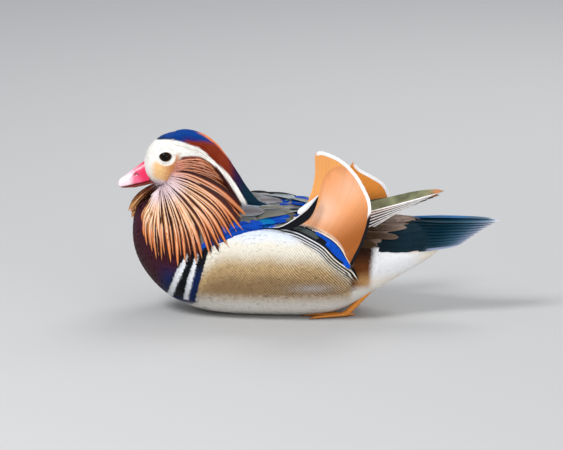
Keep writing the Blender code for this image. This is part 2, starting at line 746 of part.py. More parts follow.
def sail_point(u, v, name):
    """A place on the sail's broad web, u along the shaft and v from the shaft to its edge."""
    x, y, z = along(SAIL_SHAFT, u)
    barb = along(SAIL_EDGE[name], u) - (x, z)
    bow = SAIL_BOW * 4 * v * (1 - v) * (1 - u) ** 1.5
    hollow = SAIL_HOLLOW * math.sin(math.pi * v) * (1 - 0.5 * u)
    y += SAIL_LEAN[name] * np.linalg.norm(barb) * v - hollow
    return np.array([x + barb[0] * v + bow, y, z + barb[1] * v])


def sail_form(name):
    """The sail feather of the duck's right side: a broad web above its shaft, a narrow one below."""
    rows = []
    for i in range(SAIL_STEPS + 1):
        u = i / SAIL_STEPS * 0.985
        blue = BLUE_WEB * math.sin(math.pi * (0.08 + 0.9 * u)) ** 0.6
        run = sail_point(u + 0.01, 0, name) - sail_point(max(u - 0.02, 0), 0, name)
        down = unit(np.cross(run, ACROSS))
        down = down if down[2] < 0 else -down
        shaft = sail_point(u, 0, name)
        row = [shaft + (down * blue - ACROSS * 2.0) * w for w in (1.0, 0.5)]
        row += [sail_point(u, j / SAIL_ROWS, name) for j in range(SAIL_ROWS + 1)]
        rows.append(row)
    grid = np.array(rows)
    half = grid_normals(grid) * SAIL_THICK / 2
    return sheet(grid + half, grid - half)


def feather_path(root, tip, sag, steps=4):
    """A straight quill from root to tip that bows by the sag in its middle."""
    root, tip, sag = np.array(root), np.array(tip), np.array(sag)
    return [root + (tip - root) * t + sag * 4 * t * (1 - t) for t in np.linspace(0, 1, steps + 1)]


def blade(half, steps=4, root=0.45, tip=0.08, power=3.0):
    """Half widths of a feather: narrow at its root, full, and rounded to a point."""
    rows = []
    for i in range(steps + 1):
        t = i / steps
        wide = (root + (1 - root) * min(1, t * 2.5)) * (1 - (1 - tip) * t**power)
        rows.append((half * wide, half * wide))
    return rows


def primaries(side, name):
    """The folded flight feathers, each one a little shorter and above the one before."""
    made = []
    root, tip = np.array(PRIMARY_ROOT), np.array(PRIMARY_TIP[name])
    run = unit(tip - root)
    face = unit(np.array([0.05, 0.62, 0.78]))
    across = unit(np.cross(face, run))
    face = unit(np.cross(run, across))
    for k in range(PRIMARY_COUNT):
        short = 1 - 0.02 * k - 0.012 * k * k / 2 if k else 1.0
        offset = across * (1.9 * (PRIMARY_COUNT / 2 - k)) * -1
        layer = -face * 1.15 * k
        start = root + offset * 1.35 + layer
        end = root + (tip - root) * short + offset * 0.35 + layer * 0.6
        path = feather_path(start, end, (0, 0, -2.5))
        rows = [across] * len(path)
        thick = [PRIMARY_THICK] * len(path)
        made.append(mirrored(vane(path, rows, blade(PRIMARY_HALF), thick, 0.06), side))
    return made


def wing_pad(side):
    """The coverts of the folded wing, a pad between the scapulars and the flank."""
    def inner(u):
        x = WING_FRONT + (WING_REAR - WING_FRONT) * u
        return math.radians(38 - 18 * smooth_step((x - 2) / 30) + 8 * smooth_step((x - 40) / 18))

    def outer(u):
        x = WING_FRONT + (WING_REAR - WING_FRONT) * u
        edge = float(np.interp(x, FLANK_EDGE[:, 0], FLANK_EDGE[:, 1]))
        edge += 1.5 + 9 * smooth_step((x - 36) / 24)
        return max(angle_at_height(x, edge), inner(u) + 0.06)

    def rise(u, v):
        lengthwise = math.sin(math.pi * min(0.97, 0.1 + u * 0.87)) ** 0.5
        return 1.2 + 2.8 * lengthwise * math.sin(math.pi * v) ** 0.6

    return patch(WING_FRONT, WING_REAR, inner, outer, rise, side, 11, 3)


def sail_covers(side):
    """Long pointed feathers that rise from the wing's coverts over the base of the sail."""
    made = []
    for path, half in COVER_PLUMES:
        path = [spline(path, t) for t in np.linspace(0, len(path) - 1, 6)]
        tangents = np.gradient(np.array(path), axis=0)
        rows = [unit(np.cross(ACROSS, t)) for t in tangents]
        halves = blade(half, 5, 0.7, 0.06, 2.4)
        made.append(mirrored(vane(path, rows, halves, [1.2, 1.2, 1.1, 1, 0.9, 0.6], 0.08), side))
    return made


def wing(side, name):
    obj = make_object(f"wing_{name}", wing_pad(side), "wing")
    return combine(obj, primaries(side, name) + sail_covers(side))


def scapular_pad(side):
    """The shoulder feathers, a long low mound on each side of the back."""
    def inner(u):
        return math.radians(8 + 5 * (2 * u - 1) ** 2 + 5 * smooth_step((u - 0.62) / 0.38))

    def outer(u):
        return math.radians(37 - 2 * u - 13 * smooth_step((u - 0.6) / 0.4))

    def rise(u, v):
        long = math.sin(math.pi * min(1, 0.12 + 0.86 * u)) ** 0.5
        return 0.8 + SCAPULAR_RISE * long * math.sin(math.pi * v) ** 0.7

    return patch(SCAPULAR_FRONT, SCAPULAR_REAR, inner, outer, rise, side)


def scapulars(side, name):
    return make_object(f"scapulars_{name}", scapular_pad(side), "scapular")


def tail_feathers(draw):
    """Pairs of tail feathers, arched like a roof, the middle pair on top."""
    made = []
    for side in SIDES.values():
        for k in range(TAIL_PAIRS):
            share = k / (TAIL_PAIRS - 1)
            bend = share**1.25
            root = np.array(TAIL_ROOT_MID) * (1 - share) + np.array(TAIL_ROOT_OUT) * share
            tip = np.array(TAIL_TIP_MID) * (1 - share) + np.array(TAIL_TIP_OUT) * share
            root[2] = TAIL_ROOT_MID[2] * (1 - bend) + TAIL_ROOT_OUT[2] * bend
            tip[2] = TAIL_TIP_MID[2] * (1 - bend) + TAIL_TIP_OUT[2] * bend
            lean = math.radians(14 + 36 * share)
            across = np.array([0, math.cos(lean), -math.sin(lean)])
            layer = np.array([0, -math.sin(lean), -math.cos(lean)]) * (1.15 * k)
            path = [p + layer * 0.6 for p in feather_path(root, tip, (0, 1.5 * share, 0.5), 3)]
            halves = blade(TAIL_HALF, 3, root=0.7, power=4)
            form = vane(path, [across] * len(path), halves, [TAIL_THICK] * len(path), 0.05)
            made.append(mirrored(form, side))
    return made


def tail():
    core = egg_form(TORSO, 9, 20, start=TAIL_CUT + GAP / 2, point=torso_point)
    obj = make_object("tail", core, "tail")
    return combine(obj, tail_feathers(random.Random(5)))


def web_form(outline):
    """The skin between the toes, from its outline that starts at the heel of the foot."""
    low = [np.array([p[0], p[1], -1.0]) for p in outline]
    high = [np.array([p[0], p[1], WEB_THICK]) for p in outline]
    count = len(outline)
    fan = [(0, i, i + 1) for i in range(1, count - 1)]
    faces = fan + [(c + count, b + count, a + count) for a, b, c in fan]
    for a in range(count):
        b = (a + 1) % count
        faces += [(b, a, a + count), (b, a + count, b + count)]
    return facing_out(low + high, faces)


def leg_pieces(side):
    """The tarsus, toes and webs of one leg, before the sole is cut flat."""
    heel, ankle = np.array(LEG_HEEL), np.array(LEG_ANKLE)
    bent = heel + (ankle - heel) * 0.55 + (0, 0, -1.0)
    tarsus = [heel + (2, 0, 1.5), heel, bent, ankle, ankle + (-4, 0, -1)]
    pieces = [pipe(tarsus, [3.4, 3.2, TARSUS_RADIUS, 2.9, 2.2], 6)]
    base = ankle + (-1, 0, -1.2)
    ends = []
    for length, angle in TOES:
        turn = math.radians(angle)
        forward = np.array([-math.cos(turn), math.sin(turn), 0])
        radii = [TOE_RADIUS, 1.8, 1.4, 0.7]
        joints = [base + forward * length * s for s in (-0.04, 0.45, 0.84, 1.0)]
        joints = [(j[0], j[1], r - 0.5) for j, r in zip(joints, radii, strict=True)]
        pieces.append(pipe(joints, radii))
        ends.append(base + forward * length * 0.84)
    back = np.array([math.cos(0.5), -math.sin(0.5), 0])
    hind = [base - back, base + back * 5 + (0, 0, -0.6), base + back * 10 + (0, 0, -1.0)]
    pieces.append(pipe(hind, [1.5, 1.3, 0.7]))
    middle, outer, inner = ends
    hollows = [(middle + other) / 2 * 0.88 + base * 0.12 for other in (outer, inner)]
    pieces.append(web_form([base + (2, 0, 0), outer, hollows[0], middle, hollows[1], inner]))
    return [mirrored(p, side) for p in pieces]


def leg(side, name):
    """A leg tucked under the belly, its sole flat on the floor."""
    first, *others = leg_pieces(side)
    obj = combine(make_object(f"leg_{name}", first, "leg"), others)
    return combine(obj, [block((-60, -90, -20), (120, 90, 0))], "DIFFERENCE")


def main():
    clear_scene()
    torso, neck, head = torso_form(), neck_form(), turned(head_form())

    legs = [leg(side, name) for name, side in SIDES.items()]
    pockets = [grown(form_of(obj), 2 * GAP) for obj in legs]
    body = make_object("torso", torso, "breast")
    combine(body, pockets, "DIFFERENCE")

    pads = []
    for name, side in SIDES.items():
        shoulder = scapulars(side, name)
        combine(shoulder, [grown(torso, GAP)], "DIFFERENCE")
        folded = wing(side, name)
        combine(folded, [grown(torso, GAP), grown(form_of(shoulder), GAP)], "DIFFERENCE")
        pads += [form_of(shoulder), form_of(folded)]
    tail()
    neck_obj = make_object("neck", neck, "neck")
    combine(neck_obj, [grown(form, GAP) for form in (head, torso, *pads)], "DIFFERENCE")

    for name, side in SIDES.items():
        sail = make_object(f"sail_{name}", mirrored(sail_form(name), side), "sail")
        combine(sail, [grown(form, GAP) for form in (torso, *pads)], "DIFFERENCE")

    draw = random.Random(11)
    below = surface(torso, neck, head, *pads)
    plumage = crest(below, draw)
    for name in SIDES:
        plumage += ruff(name, below, draw)
    head_obj = make_object("head", head, "head")
    combine(head_obj, plumage + [turned(lid_form(side)) for side in SIDES.values()])
    combine(head_obj, [grown(form, GAP) for form in (torso, form_of(neck_obj), *pads)], "DIFFERENCE")

    sockets = []
    for name, side in SIDES.items():
        x, y, z = EYE_PLACE
        make_object(f"eye_{name}", turned(ball((x, side * y, z), [EYE_RADIUS] * 3)), "eye")
        sockets.append(turned(ball((x, side * y, z), [EYE_RADIUS + GAP] * 3)))
    combine(head_obj, sockets, "DIFFERENCE")

    upper = make_object("bill_upper", turned(upper_bill()), "bill")
    combine(upper, [grown(head, GAP), *[turned(nostril(side)) for side in SIDES.values()]], "DIFFERENCE")
    lower = make_object("bill_lower", turned(lower_bill()), "bill")
    combine(lower, [grown(head, GAP)], "DIFFERENCE")


main()
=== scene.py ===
"""Mandarin duck, an adult drake at rest: coat, bill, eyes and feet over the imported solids.

Sizes are in millimetres in the same frame as the solids, and become metres in the meshes.
"""

import sys
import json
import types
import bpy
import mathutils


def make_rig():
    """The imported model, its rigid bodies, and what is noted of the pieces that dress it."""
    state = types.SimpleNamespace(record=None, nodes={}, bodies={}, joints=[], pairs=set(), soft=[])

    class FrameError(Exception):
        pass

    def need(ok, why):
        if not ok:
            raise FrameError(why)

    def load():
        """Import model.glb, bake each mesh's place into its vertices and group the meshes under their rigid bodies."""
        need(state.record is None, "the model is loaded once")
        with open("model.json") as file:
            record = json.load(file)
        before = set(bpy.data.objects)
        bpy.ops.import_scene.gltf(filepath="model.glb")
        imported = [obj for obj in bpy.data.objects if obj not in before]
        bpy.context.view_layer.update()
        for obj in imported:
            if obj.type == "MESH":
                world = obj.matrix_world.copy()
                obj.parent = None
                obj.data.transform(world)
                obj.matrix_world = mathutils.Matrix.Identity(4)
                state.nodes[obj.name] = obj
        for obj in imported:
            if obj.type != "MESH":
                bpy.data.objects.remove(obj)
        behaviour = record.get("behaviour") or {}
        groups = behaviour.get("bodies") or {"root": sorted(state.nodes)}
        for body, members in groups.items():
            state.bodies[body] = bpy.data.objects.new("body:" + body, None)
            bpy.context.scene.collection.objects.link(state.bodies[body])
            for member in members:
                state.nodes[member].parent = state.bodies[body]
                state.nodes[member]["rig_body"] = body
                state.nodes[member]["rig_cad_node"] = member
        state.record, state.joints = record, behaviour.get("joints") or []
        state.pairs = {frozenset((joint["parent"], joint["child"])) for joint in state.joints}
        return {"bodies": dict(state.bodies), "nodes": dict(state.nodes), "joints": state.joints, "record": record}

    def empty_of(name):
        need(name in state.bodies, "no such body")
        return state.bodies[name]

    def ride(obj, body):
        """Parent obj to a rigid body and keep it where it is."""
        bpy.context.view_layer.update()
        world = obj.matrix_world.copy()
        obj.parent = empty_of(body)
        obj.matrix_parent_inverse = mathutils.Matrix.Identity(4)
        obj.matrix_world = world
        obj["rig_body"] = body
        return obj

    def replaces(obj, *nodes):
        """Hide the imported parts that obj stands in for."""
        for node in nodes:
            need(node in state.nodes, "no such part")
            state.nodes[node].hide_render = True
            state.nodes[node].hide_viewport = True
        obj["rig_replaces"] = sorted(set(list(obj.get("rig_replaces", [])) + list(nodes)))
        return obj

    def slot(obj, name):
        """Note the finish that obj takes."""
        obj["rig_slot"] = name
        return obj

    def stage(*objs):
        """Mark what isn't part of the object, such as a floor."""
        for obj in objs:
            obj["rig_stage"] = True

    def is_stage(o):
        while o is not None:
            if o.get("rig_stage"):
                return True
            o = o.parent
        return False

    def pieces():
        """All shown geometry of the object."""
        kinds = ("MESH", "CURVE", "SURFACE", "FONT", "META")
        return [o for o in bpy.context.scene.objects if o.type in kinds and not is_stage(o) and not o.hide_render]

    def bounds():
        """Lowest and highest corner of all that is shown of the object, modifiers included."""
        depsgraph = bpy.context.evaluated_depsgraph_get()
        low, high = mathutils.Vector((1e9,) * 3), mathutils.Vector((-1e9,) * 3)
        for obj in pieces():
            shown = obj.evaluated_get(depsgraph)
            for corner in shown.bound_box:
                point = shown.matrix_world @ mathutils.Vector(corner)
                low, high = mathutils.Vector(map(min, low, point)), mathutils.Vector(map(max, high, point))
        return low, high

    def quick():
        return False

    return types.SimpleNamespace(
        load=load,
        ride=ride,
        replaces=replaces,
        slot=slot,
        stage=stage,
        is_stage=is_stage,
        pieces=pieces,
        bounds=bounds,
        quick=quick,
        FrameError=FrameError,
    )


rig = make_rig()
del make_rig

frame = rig.load()
cad_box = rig.bounds()

import json
import math

import bmesh
import bpy
import numpy as np
from mathutils import Vector
from mathutils.bvhtree import BVHTree


def plain_box(box):
    """The two corners of a box as plain lists."""
    return [[float(v) for v in corner] for corner in box]


MM = 0.001
GAP = 0.35
SIDES = {"left": -1, "right": 1}
ACROSS = np.array([0.0, 1.0, 0.0])
UP = np.array([0.0, 0.0, 1.0])
# Torso, breast to vent: x, top, bottom, half width, height of the widest place as a
# share of the depth, fullness above it and fullness below it.
TORSO = np.array([
    (-145.5, 77, 70, 3, 0.50, 2.0, 2.0),
    (-143.5, 89, 57, 17, 0.50, 2.0, 2.0),
    (-138.5, 98, 44, 30, 0.50, 2.1, 2.0),
    (-130, 104, 31, 41, 0.50, 2.2, 2.0),
    (-118, 106, 19, 50, 0.50, 2.3, 2.1),
    (-103, 106, 9, 56.5, 0.50, 2.4, 2.1),
    (-84, 103.5, 2, 60.5, 0.51, 2.5, 2.2),
    (-60, 99, -1.5, 62.5, 0.52, 2.7, 2.3),
    (-34, 95.5, -2.4, 63.5, 0.53, 2.8, 2.3),
    (-8, 93.5, -2.4, 63.5, 0.54, 2.8, 2.3),
    (18, 92.5, -1.8, 61.5, 0.54, 2.7, 2.3),
    (42, 92, 1.5, 57.5, 0.53, 2.4, 2.3),
    (64, 91.5, 11, 51, 0.52, 2.1, 2.2),
    (84, 91, 24, 43, 0.48, 1.9, 2.1),
    (102, 90, 35.5, 34.5, 0.44, 1.7, 2.0),
    (118, 88.5, 45, 26.5, 0.42, 1.6, 2.0),
    (132, 87, 54.5, 19, 0.42, 1.6, 2.0),
    (143, 84.5, 64.5, 11.5, 0.45, 1.7, 2.0),
    (149, 80, 72, 4.5, 0.50, 2.0, 2.0),
])
# The flank's buff panel swells over the wing's lower edge: x and height of its upper edge.
FLANK_EDGE = np.array([(-78, 60), (-62, 74), (-40, 82.5), (-12, 86), (14, 80.5), (42, 66), (62, 49)])
FLANK_SWELL, FLANK_LOW, FLANK_SOFT = 4.2, 24.0, 5.0
# Neck: height, x of its middle, half length and half width.
NECK = np.array([
    (76, -90, 40, 40), (92, -89, 36, 34), (104, -89, 32, 28),
    (116, -90, 27, 23), (128, -94, 20, 18), (138, -96, 14, 12),
])
# Head before its turn: x, top, bottom, half width, widest height, fullness above and below.
HEAD = np.array([
    (-136.3, 137, 131, 3, 0.5, 2.0, 2.0),
    (-135.2, 141.5, 126, 8, 0.5, 2.0, 2.0),
    (-132.3, 149, 121.5, 12.2, 0.48, 2.0, 2.1),
    (-127, 156.5, 117.5, 15.4, 0.48, 2.0, 2.1),
    (-119, 162, 114, 17.8, 0.48, 2.1, 2.1),
    (-109, 165.3, 111, 19.4, 0.48, 2.1, 2.2),
    (-98, 166, 108, 20.2, 0.48, 2.1, 2.2),
    (-87, 163.6, 106, 19.8, 0.48, 2.1, 2.2),
    (-77, 158.5, 105, 18, 0.48, 2.0, 2.2),
    (-69, 151, 107, 14.8, 0.5, 2.0, 2.1),
    (-63, 141.5, 112, 9.5, 0.5, 2.0, 2.0),
    (-60.5, 131, 121, 3, 0.5, 2.0, 2.0),
])
HEAD_PIVOT, HEAD_TURN = -98.0, math.radians(12)
EYE_PLACE, EYE_RADIUS = (-116.4, 12.6, 145.1), 6.1
# Bill in the head's frame: x, top, line of the mouth, half width, how hollow its sides are.
BILL = np.array([
    (-124, 142, 121.8, 7.6, 1.1), (-130, 140.6, 120.6, 7.6, 1.1), (-135, 138, 119.5, 7.5, 1.1),
    (-138.5, 135.8, 118.7, 7.2, 1.05), (-142.5, 133, 117.9, 6.7, 0.95), (-146.5, 129.8, 117, 6.3, 0.85),
    (-150, 127, 116.2, 6.1, 0.75), (-153.5, 124.4, 115.5, 5.9, 0.7), (-156.3, 122.4, 115.1, 4.9, 0.65),
    (-158, 120.4, 115.2, 2.9, 0.6), (-158.7, 118.6, 116, 1.0, 0.6),
])
LOWER_DEPTH, LOWER_END, LOWER_SHARE = 3.6, -156.0, 0.8
NOSTRIL = (-142.6, 5.2, 127.2)
# Ruff: roots on the cheek and tips on the breast, in the head's frame, from the nape
# round to the throat. The far side's foremost hackles flare ahead of the breast.
RUFF_ROOTS = np.array([
    (-84, 142), (-93, 144), (-101, 140), (-108, 133), (-113, 126), (-117, 121), (-119, 118),
])
RUFF_TIPS = {
    "left": np.array([
        (-42, 90), (-49, 79), (-59, 71), (-69, 65), (-80, 53), (-92, 48), (-104, 47),
        (-115, 49), (-124, 54), (-131, 62), (-136, 71), (-139, 82),
    ]),
    "right": np.array([
        (-44, 90), (-51, 79), (-60, 71), (-69, 65), (-80, 53), (-92, 48), (-104, 47),
        (-115, 50), (-124, 56), (-133, 65), (-141, 76), (-146, 89),
    ]),
}
# Crest: its top line and the white brow line along its lower edge, both in the head's
# frame from the crown down the nape to the back; the brow line has a y as well.
CREST_LINE = np.array([
    (-113, 163), (-97, 166.6), (-81, 162.6), (-69, 154), (-59, 142), (-49, 127), (-38.5, 111.5),
    (-28.5, 101.5), (-18, 97.5),
])
BROW_LINE = np.array([
    (-109, 154.5, 16.5), (-98, 152, 18.5), (-86, 146.5, 19.5), (-75, 138.5, 20.5), (-65.5, 129, 21),
    (-57, 119, 21.5), (-49, 108, 21), (-42, 98, 19), (-37, 93.5, 17),
])
# Sail: the shaft, and the free edge of the broad web above it, both from root to tip.
SAIL_SHAFT = np.array([
    (9.5, 44, 88.9), (28, 48, 84.3), (38, 50.5, 80.8), (46, 52.8, 76.2), (52.5, 55, 69.8),
    (57.5, 57, 61.8), (62, 58, 54.5),
])
SAIL_EDGE = {
    "left": np.array([
        (27.5, 158.7), (36, 160), (51, 154.5), (63.5, 144), (73, 130.5), (80, 114),
        (79.5, 97), (74, 78), (67.5, 64), (62.5, 54.5),
    ]),
    "right": np.array([
        (54, 132.5), (60, 124.5), (71, 118), (82, 110.5), (88, 99), (88.5, 87),
        (84, 75), (76, 66), (69, 59.5), (62.5, 54.5),
    ]),
}
SAIL_HOLLOW, SAIL_BOW = 3.0, 7.0
BLUE_WEB = 8.0
SAIL_LEAN = {"left": 0.10, "right": 0.05}
# Wing: coverts' front and rear, and the primaries.
PAD_SUNK = 2.0
WING_FRONT, WING_REAR = -74.0, 58.0
PRIMARY_ROOT = (26.0, 39.0, 88.5)
PRIMARY_TIP = {"left": (143.0, 13.0, 118.0), "right": (141.0, 9.0, 109.5)}
COVER_PLUMES = (  # path and half width of the black and white feathers over each sail's base
    ([(-36, 47, 87), (-18, 49, 88.5), (-2, 50.5, 88.5), (10, 51.5, 92), (20, 52.5, 100),
      (27, 53, 109.5), (31.5, 53, 118.5)], 5.0),
    ([(-38, 50, 84.5), (-20, 52.5, 84.5), (-4, 54.5, 84), (10, 55.5, 85), (22, 56, 90)], 4.5),
)
SCAPULAR_FRONT, SCAPULAR_REAR, SCAPULAR_RISE = -70.0, 34.0, 7.5
# Tail: root and tip of the middle feather and of the outermost one.
TAIL_ROOT_MID, TAIL_TIP_MID = (100.0, 3.0, 88.0), (193.0, 2.6, 88.5)
TAIL_ROOT_OUT, TAIL_TIP_OUT = (98.0, 25.0, 68.0), (164.0, 21.0, 75.5)
LEG_HEEL, LEG_ANKLE = (82.0, 20.5, 32.0), (55.0, 24.0, 3.4)
TOES = ((41.0, 2.0), (36.0, 25.0), (33.0, -22.0))  # length, and angle out from straight ahead
TOE_RADIUS, TARSUS_RADIUS, WEB_THICK = 2.1, 2.5, 1.2


def srgb(red, green, blue):
    """A screen colour from 0 to 255 as the light it stands for."""
    parts = np.array([red, green, blue]) / 255
    return np.where(parts <= 0.04045, parts / 12.92, ((parts + 0.055) / 1.055) ** 2.4)


CREAM_WHITE, CHALK_WHITE = srgb(246, 243, 236), srgb(236, 235, 232)
FACE_BUFF, FACE_SAND, THROAT_LILAC = srgb(196, 124, 66), srgb(250, 202, 138), srgb(222, 196, 208)
CROWN_BLUE, CROWN_TEAL, CROWN_VIOLET = srgb(2, 62, 138), srgb(2, 62, 104), srgb(54, 36, 124)
CREST_COPPER, CREST_RIM, CREST_PLUM, CREST_TEAL = (
    srgb(138, 50, 26), srgb(226, 134, 82), srgb(44, 24, 66), srgb(2, 42, 60))
HACKLE_CREAM, HACKLE_ORANGE, HACKLE_GOLD = srgb(252, 232, 210), srgb(212, 118, 58), srgb(232, 164, 104)
HACKLE_CHESTNUT, HACKLE_MAROON, HACKLE_PLUM = srgb(158, 78, 44), srgb(58, 24, 22), srgb(140, 76, 62)
HACKLE_LILAC, HACKLE_SALMON = srgb(236, 216, 220), srgb(214, 136, 96)
BREAST_MAROON, BREAST_PLUM, BREAST_BLUE = srgb(58, 22, 28), srgb(74, 28, 52), srgb(16, 40, 92)
BAR_WHITE, BAR_BLACK = srgb(240, 242, 246), srgb(16, 18, 24)
FLANK_PALE, FLANK_CREAM, FLANK_GOLD, FLANK_BROWN = (
    srgb(224, 232, 244), srgb(236, 230, 214), srgb(198, 168, 122), srgb(160, 130, 92))
BELLY_WHITE = srgb(232, 228, 220)
WING_BLUE, WING_TEAL, WING_NAVY, WING_STEEL = (
    srgb(2, 84, 200), srgb(2, 124, 176), srgb(2, 40, 128), srgb(84, 138, 176))
WING_GREY, WING_OLIVE, WING_MAUVE, WING_SILVER, WING_SLATE = (
    srgb(112, 112, 110), srgb(124, 122, 100), srgb(140, 130, 134), srgb(168, 178, 184), srgb(76, 86, 84))
MANTLE_DARK, RUMP_GREY, RUMP_DARK = srgb(58, 62, 62), srgb(160, 138, 124), srgb(66, 46, 26)
# The tail's bright blue is a painted sheen.
TAIL_TEAL, TAIL_BLUE, TAIL_BRIGHT, TAIL_EDGE, TAIL_TIP = (
    srgb(8, 38, 50), srgb(8, 52, 70), srgb(14, 112, 176), srgb(150, 158, 182), srgb(214, 216, 224))
RUFOUS, RUFOUS_DARK, RUFOUS_PALE, VENT_WHITE, VENT_CREAM = (
    srgb(104, 56, 18), srgb(46, 20, 8), srgb(194, 148, 96), srgb(252, 252, 253), srgb(252, 240, 218))
# The near sail's peach is a painted highlight.
SAIL_PEACH, SAIL_SALMON, SAIL_ORANGE, SAIL_MARGIN = (
    srgb(254, 206, 176), srgb(252, 168, 106), srgb(166, 94, 40), srgb(246, 172, 100))
# The far sail's umber is a painted shadow.
SAIL_GOLD, SAIL_UMBER = srgb(238, 150, 62), srgb(160, 96, 38)
SAIL_WHITE, TAIL_HAZE = srgb(253, 253, 254), srgb(88, 128, 156)
PRIMARY_OLIVE, PRIMARY_BROWN, PRIMARY_RUST, PRIMARY_PALE = (
    srgb(118, 120, 90), srgb(84, 54, 36), srgb(206, 130, 84), srgb(252, 248, 244))
BILL_RED, BILL_PINK, BILL_PALE, BILL_NAIL = (
    srgb(226, 28, 84), srgb(240, 108, 144), srgb(250, 222, 230), srgb(253, 246, 248))
FOOT_ORANGE, FOOT_WEB = srgb(226, 142, 52), srgb(150, 92, 44)
EYE_BROWN, EYE_BLACK, LID_WHITE = srgb(58, 30, 16), srgb(6, 5, 6), srgb(240, 236, 230)

FINISH = {key: value for key, value in globals().items() if key.startswith(("WING_", "CHALK_", "BAR_"))}

# Lower edge of the grey-brown rump over the tail: x and z.
RUMP_LINE = np.array([(60, 60), (79, 66), (96, 77), (108, 82), (117, 85.5), (125, 90)])
# Lower edge of the crown and lower edge of the white brow: x and z in the head's frame.
CROWN_EDGE = np.array([
    (-140, 158), (-128, 157.5), (-117, 159.5), (-109, 159.8), (-102, 158.6), (-95, 156.8),
    (-86, 153.6), (-79.7, 148.7), (-73.4, 142), (-66.9, 136.9), (-60, 131.4), (-49.9, 119.7), (-41.1, 107.2),
    (-35, 96.1),
])
WHITE_EDGE = np.array([
    (-108, 144.3), (-99.6, 145.4), (-93, 145.7), (-86, 145), (-77, 140.6), (-67.5, 133.8), (-59.5, 125.1),
    (-51.2, 114.8), (-42.5, 102.6), (-37.5, 94.2),
])


def fade(value, low, high):
    """0 up to low, 1 from high on, and smooth between."""
    share = np.clip((np.asarray(value, float) - low) / (high - low), 0, 1)
    return share * share * (3 - 2 * share)


def mix(first, second, share):
    share = np.asarray(share, float)[..., None]
    return np.asarray(first) * (1 - share) + np.asarray(second) * share


def lines_at(table, x):
    return np.interp(x, table[:, 0], table[:, 1])


def crown_hue(x, y, z):
    """Blue crown, copper sides, plum and teal nape, in the head's frame."""
    top, edge = lines_at(CREST_LINE, x), lines_at(CROWN_EDGE, x)
    up = np.clip((z - edge) / np.maximum(top - edge, 4), 0, 1)
    hue = mix(CROWN_TEAL, CROWN_BLUE, fade(x, -128, -114))
    hue = mix(hue, BAR_BLACK, 0.75 * (1 - fade(z - edge, 0.4, 2.2)) * (1 - fade(x, -112, -104)))
    hue = mix(hue, CROWN_VIOLET, 0.8 * fade(x, -102, -94) * (1 - fade(up, 0.45, 0.8)) + fade(x, -82, -70))
    band = 0.35 + 0.65 * fade(x, -94, -68)
    copper = fade(x, -102, -94) * (1 - fade(up, band - 0.12, band + 0.08))
    hue = mix(hue, CREST_COPPER, copper)
    rim = fade(up, 0.93, 0.99) * fade(x, -88, -80) * (1 - fade(x, -62, -54))
    hue = mix(hue, CREST_RIM, rim)
    hue = mix(hue, CREST_PLUM, fade(x, -58, -50))
    return mix(hue, CREST_TEAL, fade(x, -49, -41))


def face_hue(x, y, z):
    """White face and brow, buff cheek, pale lilac throat, in the head's frame."""
    buff = fade(x, -132, -124) * fade(z + 0.4 * (x + 120), 118, 126) * (1 - fade(z - 0.35 * (x + 120), 139, 145))
    ring = np.hypot((x - EYE_PLACE[0]) / 1.15, z - EYE_PLACE[2] + 0.5)
    buff = buff * fade(ring, 6.6, 9.0) * (1 - fade(x, -107, -101))
    warm = mix(FACE_SAND, FACE_BUFF, fade(x, -122, -110))
    hue = mix(CREAM_WHITE, warm, np.clip(buff, 0, 0.96))
    hue = mix(hue, THROAT_LILAC, (1 - fade(z, 118, 124)) * (1 - fade(x, -106, -98)))
    cheek = fade(lines_at(WHITE_EDGE, x) - z, -0.6, 0.8) * fade(x - 0.3 * (z - 136), -107, -103)
    # Under the white stripe the cheek is plum; towards the nape it darkens to maroon, a painted shade of the gap behind
    # the ruff.
    return mix(hue, mix(HACKLE_PLUM, HACKLE_MAROON * 1.3, fade(x - 0.5 * (z - 130), -84, -66)), cheek)


def head_hue(points):
    x, y, z = points[:, 0], np.abs(points[:, 1]), points[:, 2]
    crown = fade(z - lines_at(CROWN_EDGE, x), -0.4, 0.4)
    return mix(face_hue(x, y, z), crown_hue(x, y, z), crown)


def back_hue(x, y, z, edge):
    """Blue coverts over the flank, grey-olive scapulars, dark mantle and grey-brown rump."""
    above = z - edge
    hue = mix(MANTLE_DARK, WING_GREY, fade(y, 12, 19))
    hue = mix(hue, WING_OLIVE, fade(x, -30, -8) * fade(y, 15, 24) * 0.7)
    near = fade(y, 34, 40)
    blue = near * (1 - fade(above, 8, 11)) * (1 - fade(x, -12, -6))
    hue = mix(hue, WING_BLUE, blue)
    hue = mix(hue, WING_TEAL, near * np.exp(-(((x + 18.5) / 6) ** 2) - ((z - 91.5) / 4.5) ** 2))
    hue = mix(hue, BAR_BLACK, near * fade(x, 2, 8) * (1 - fade(above, 10, 14)))
    return mix(hue, mix(RUMP_DARK * 1.2, RUMP_GREY, fade(x, 62, 98)), fade(x, 38, 56))


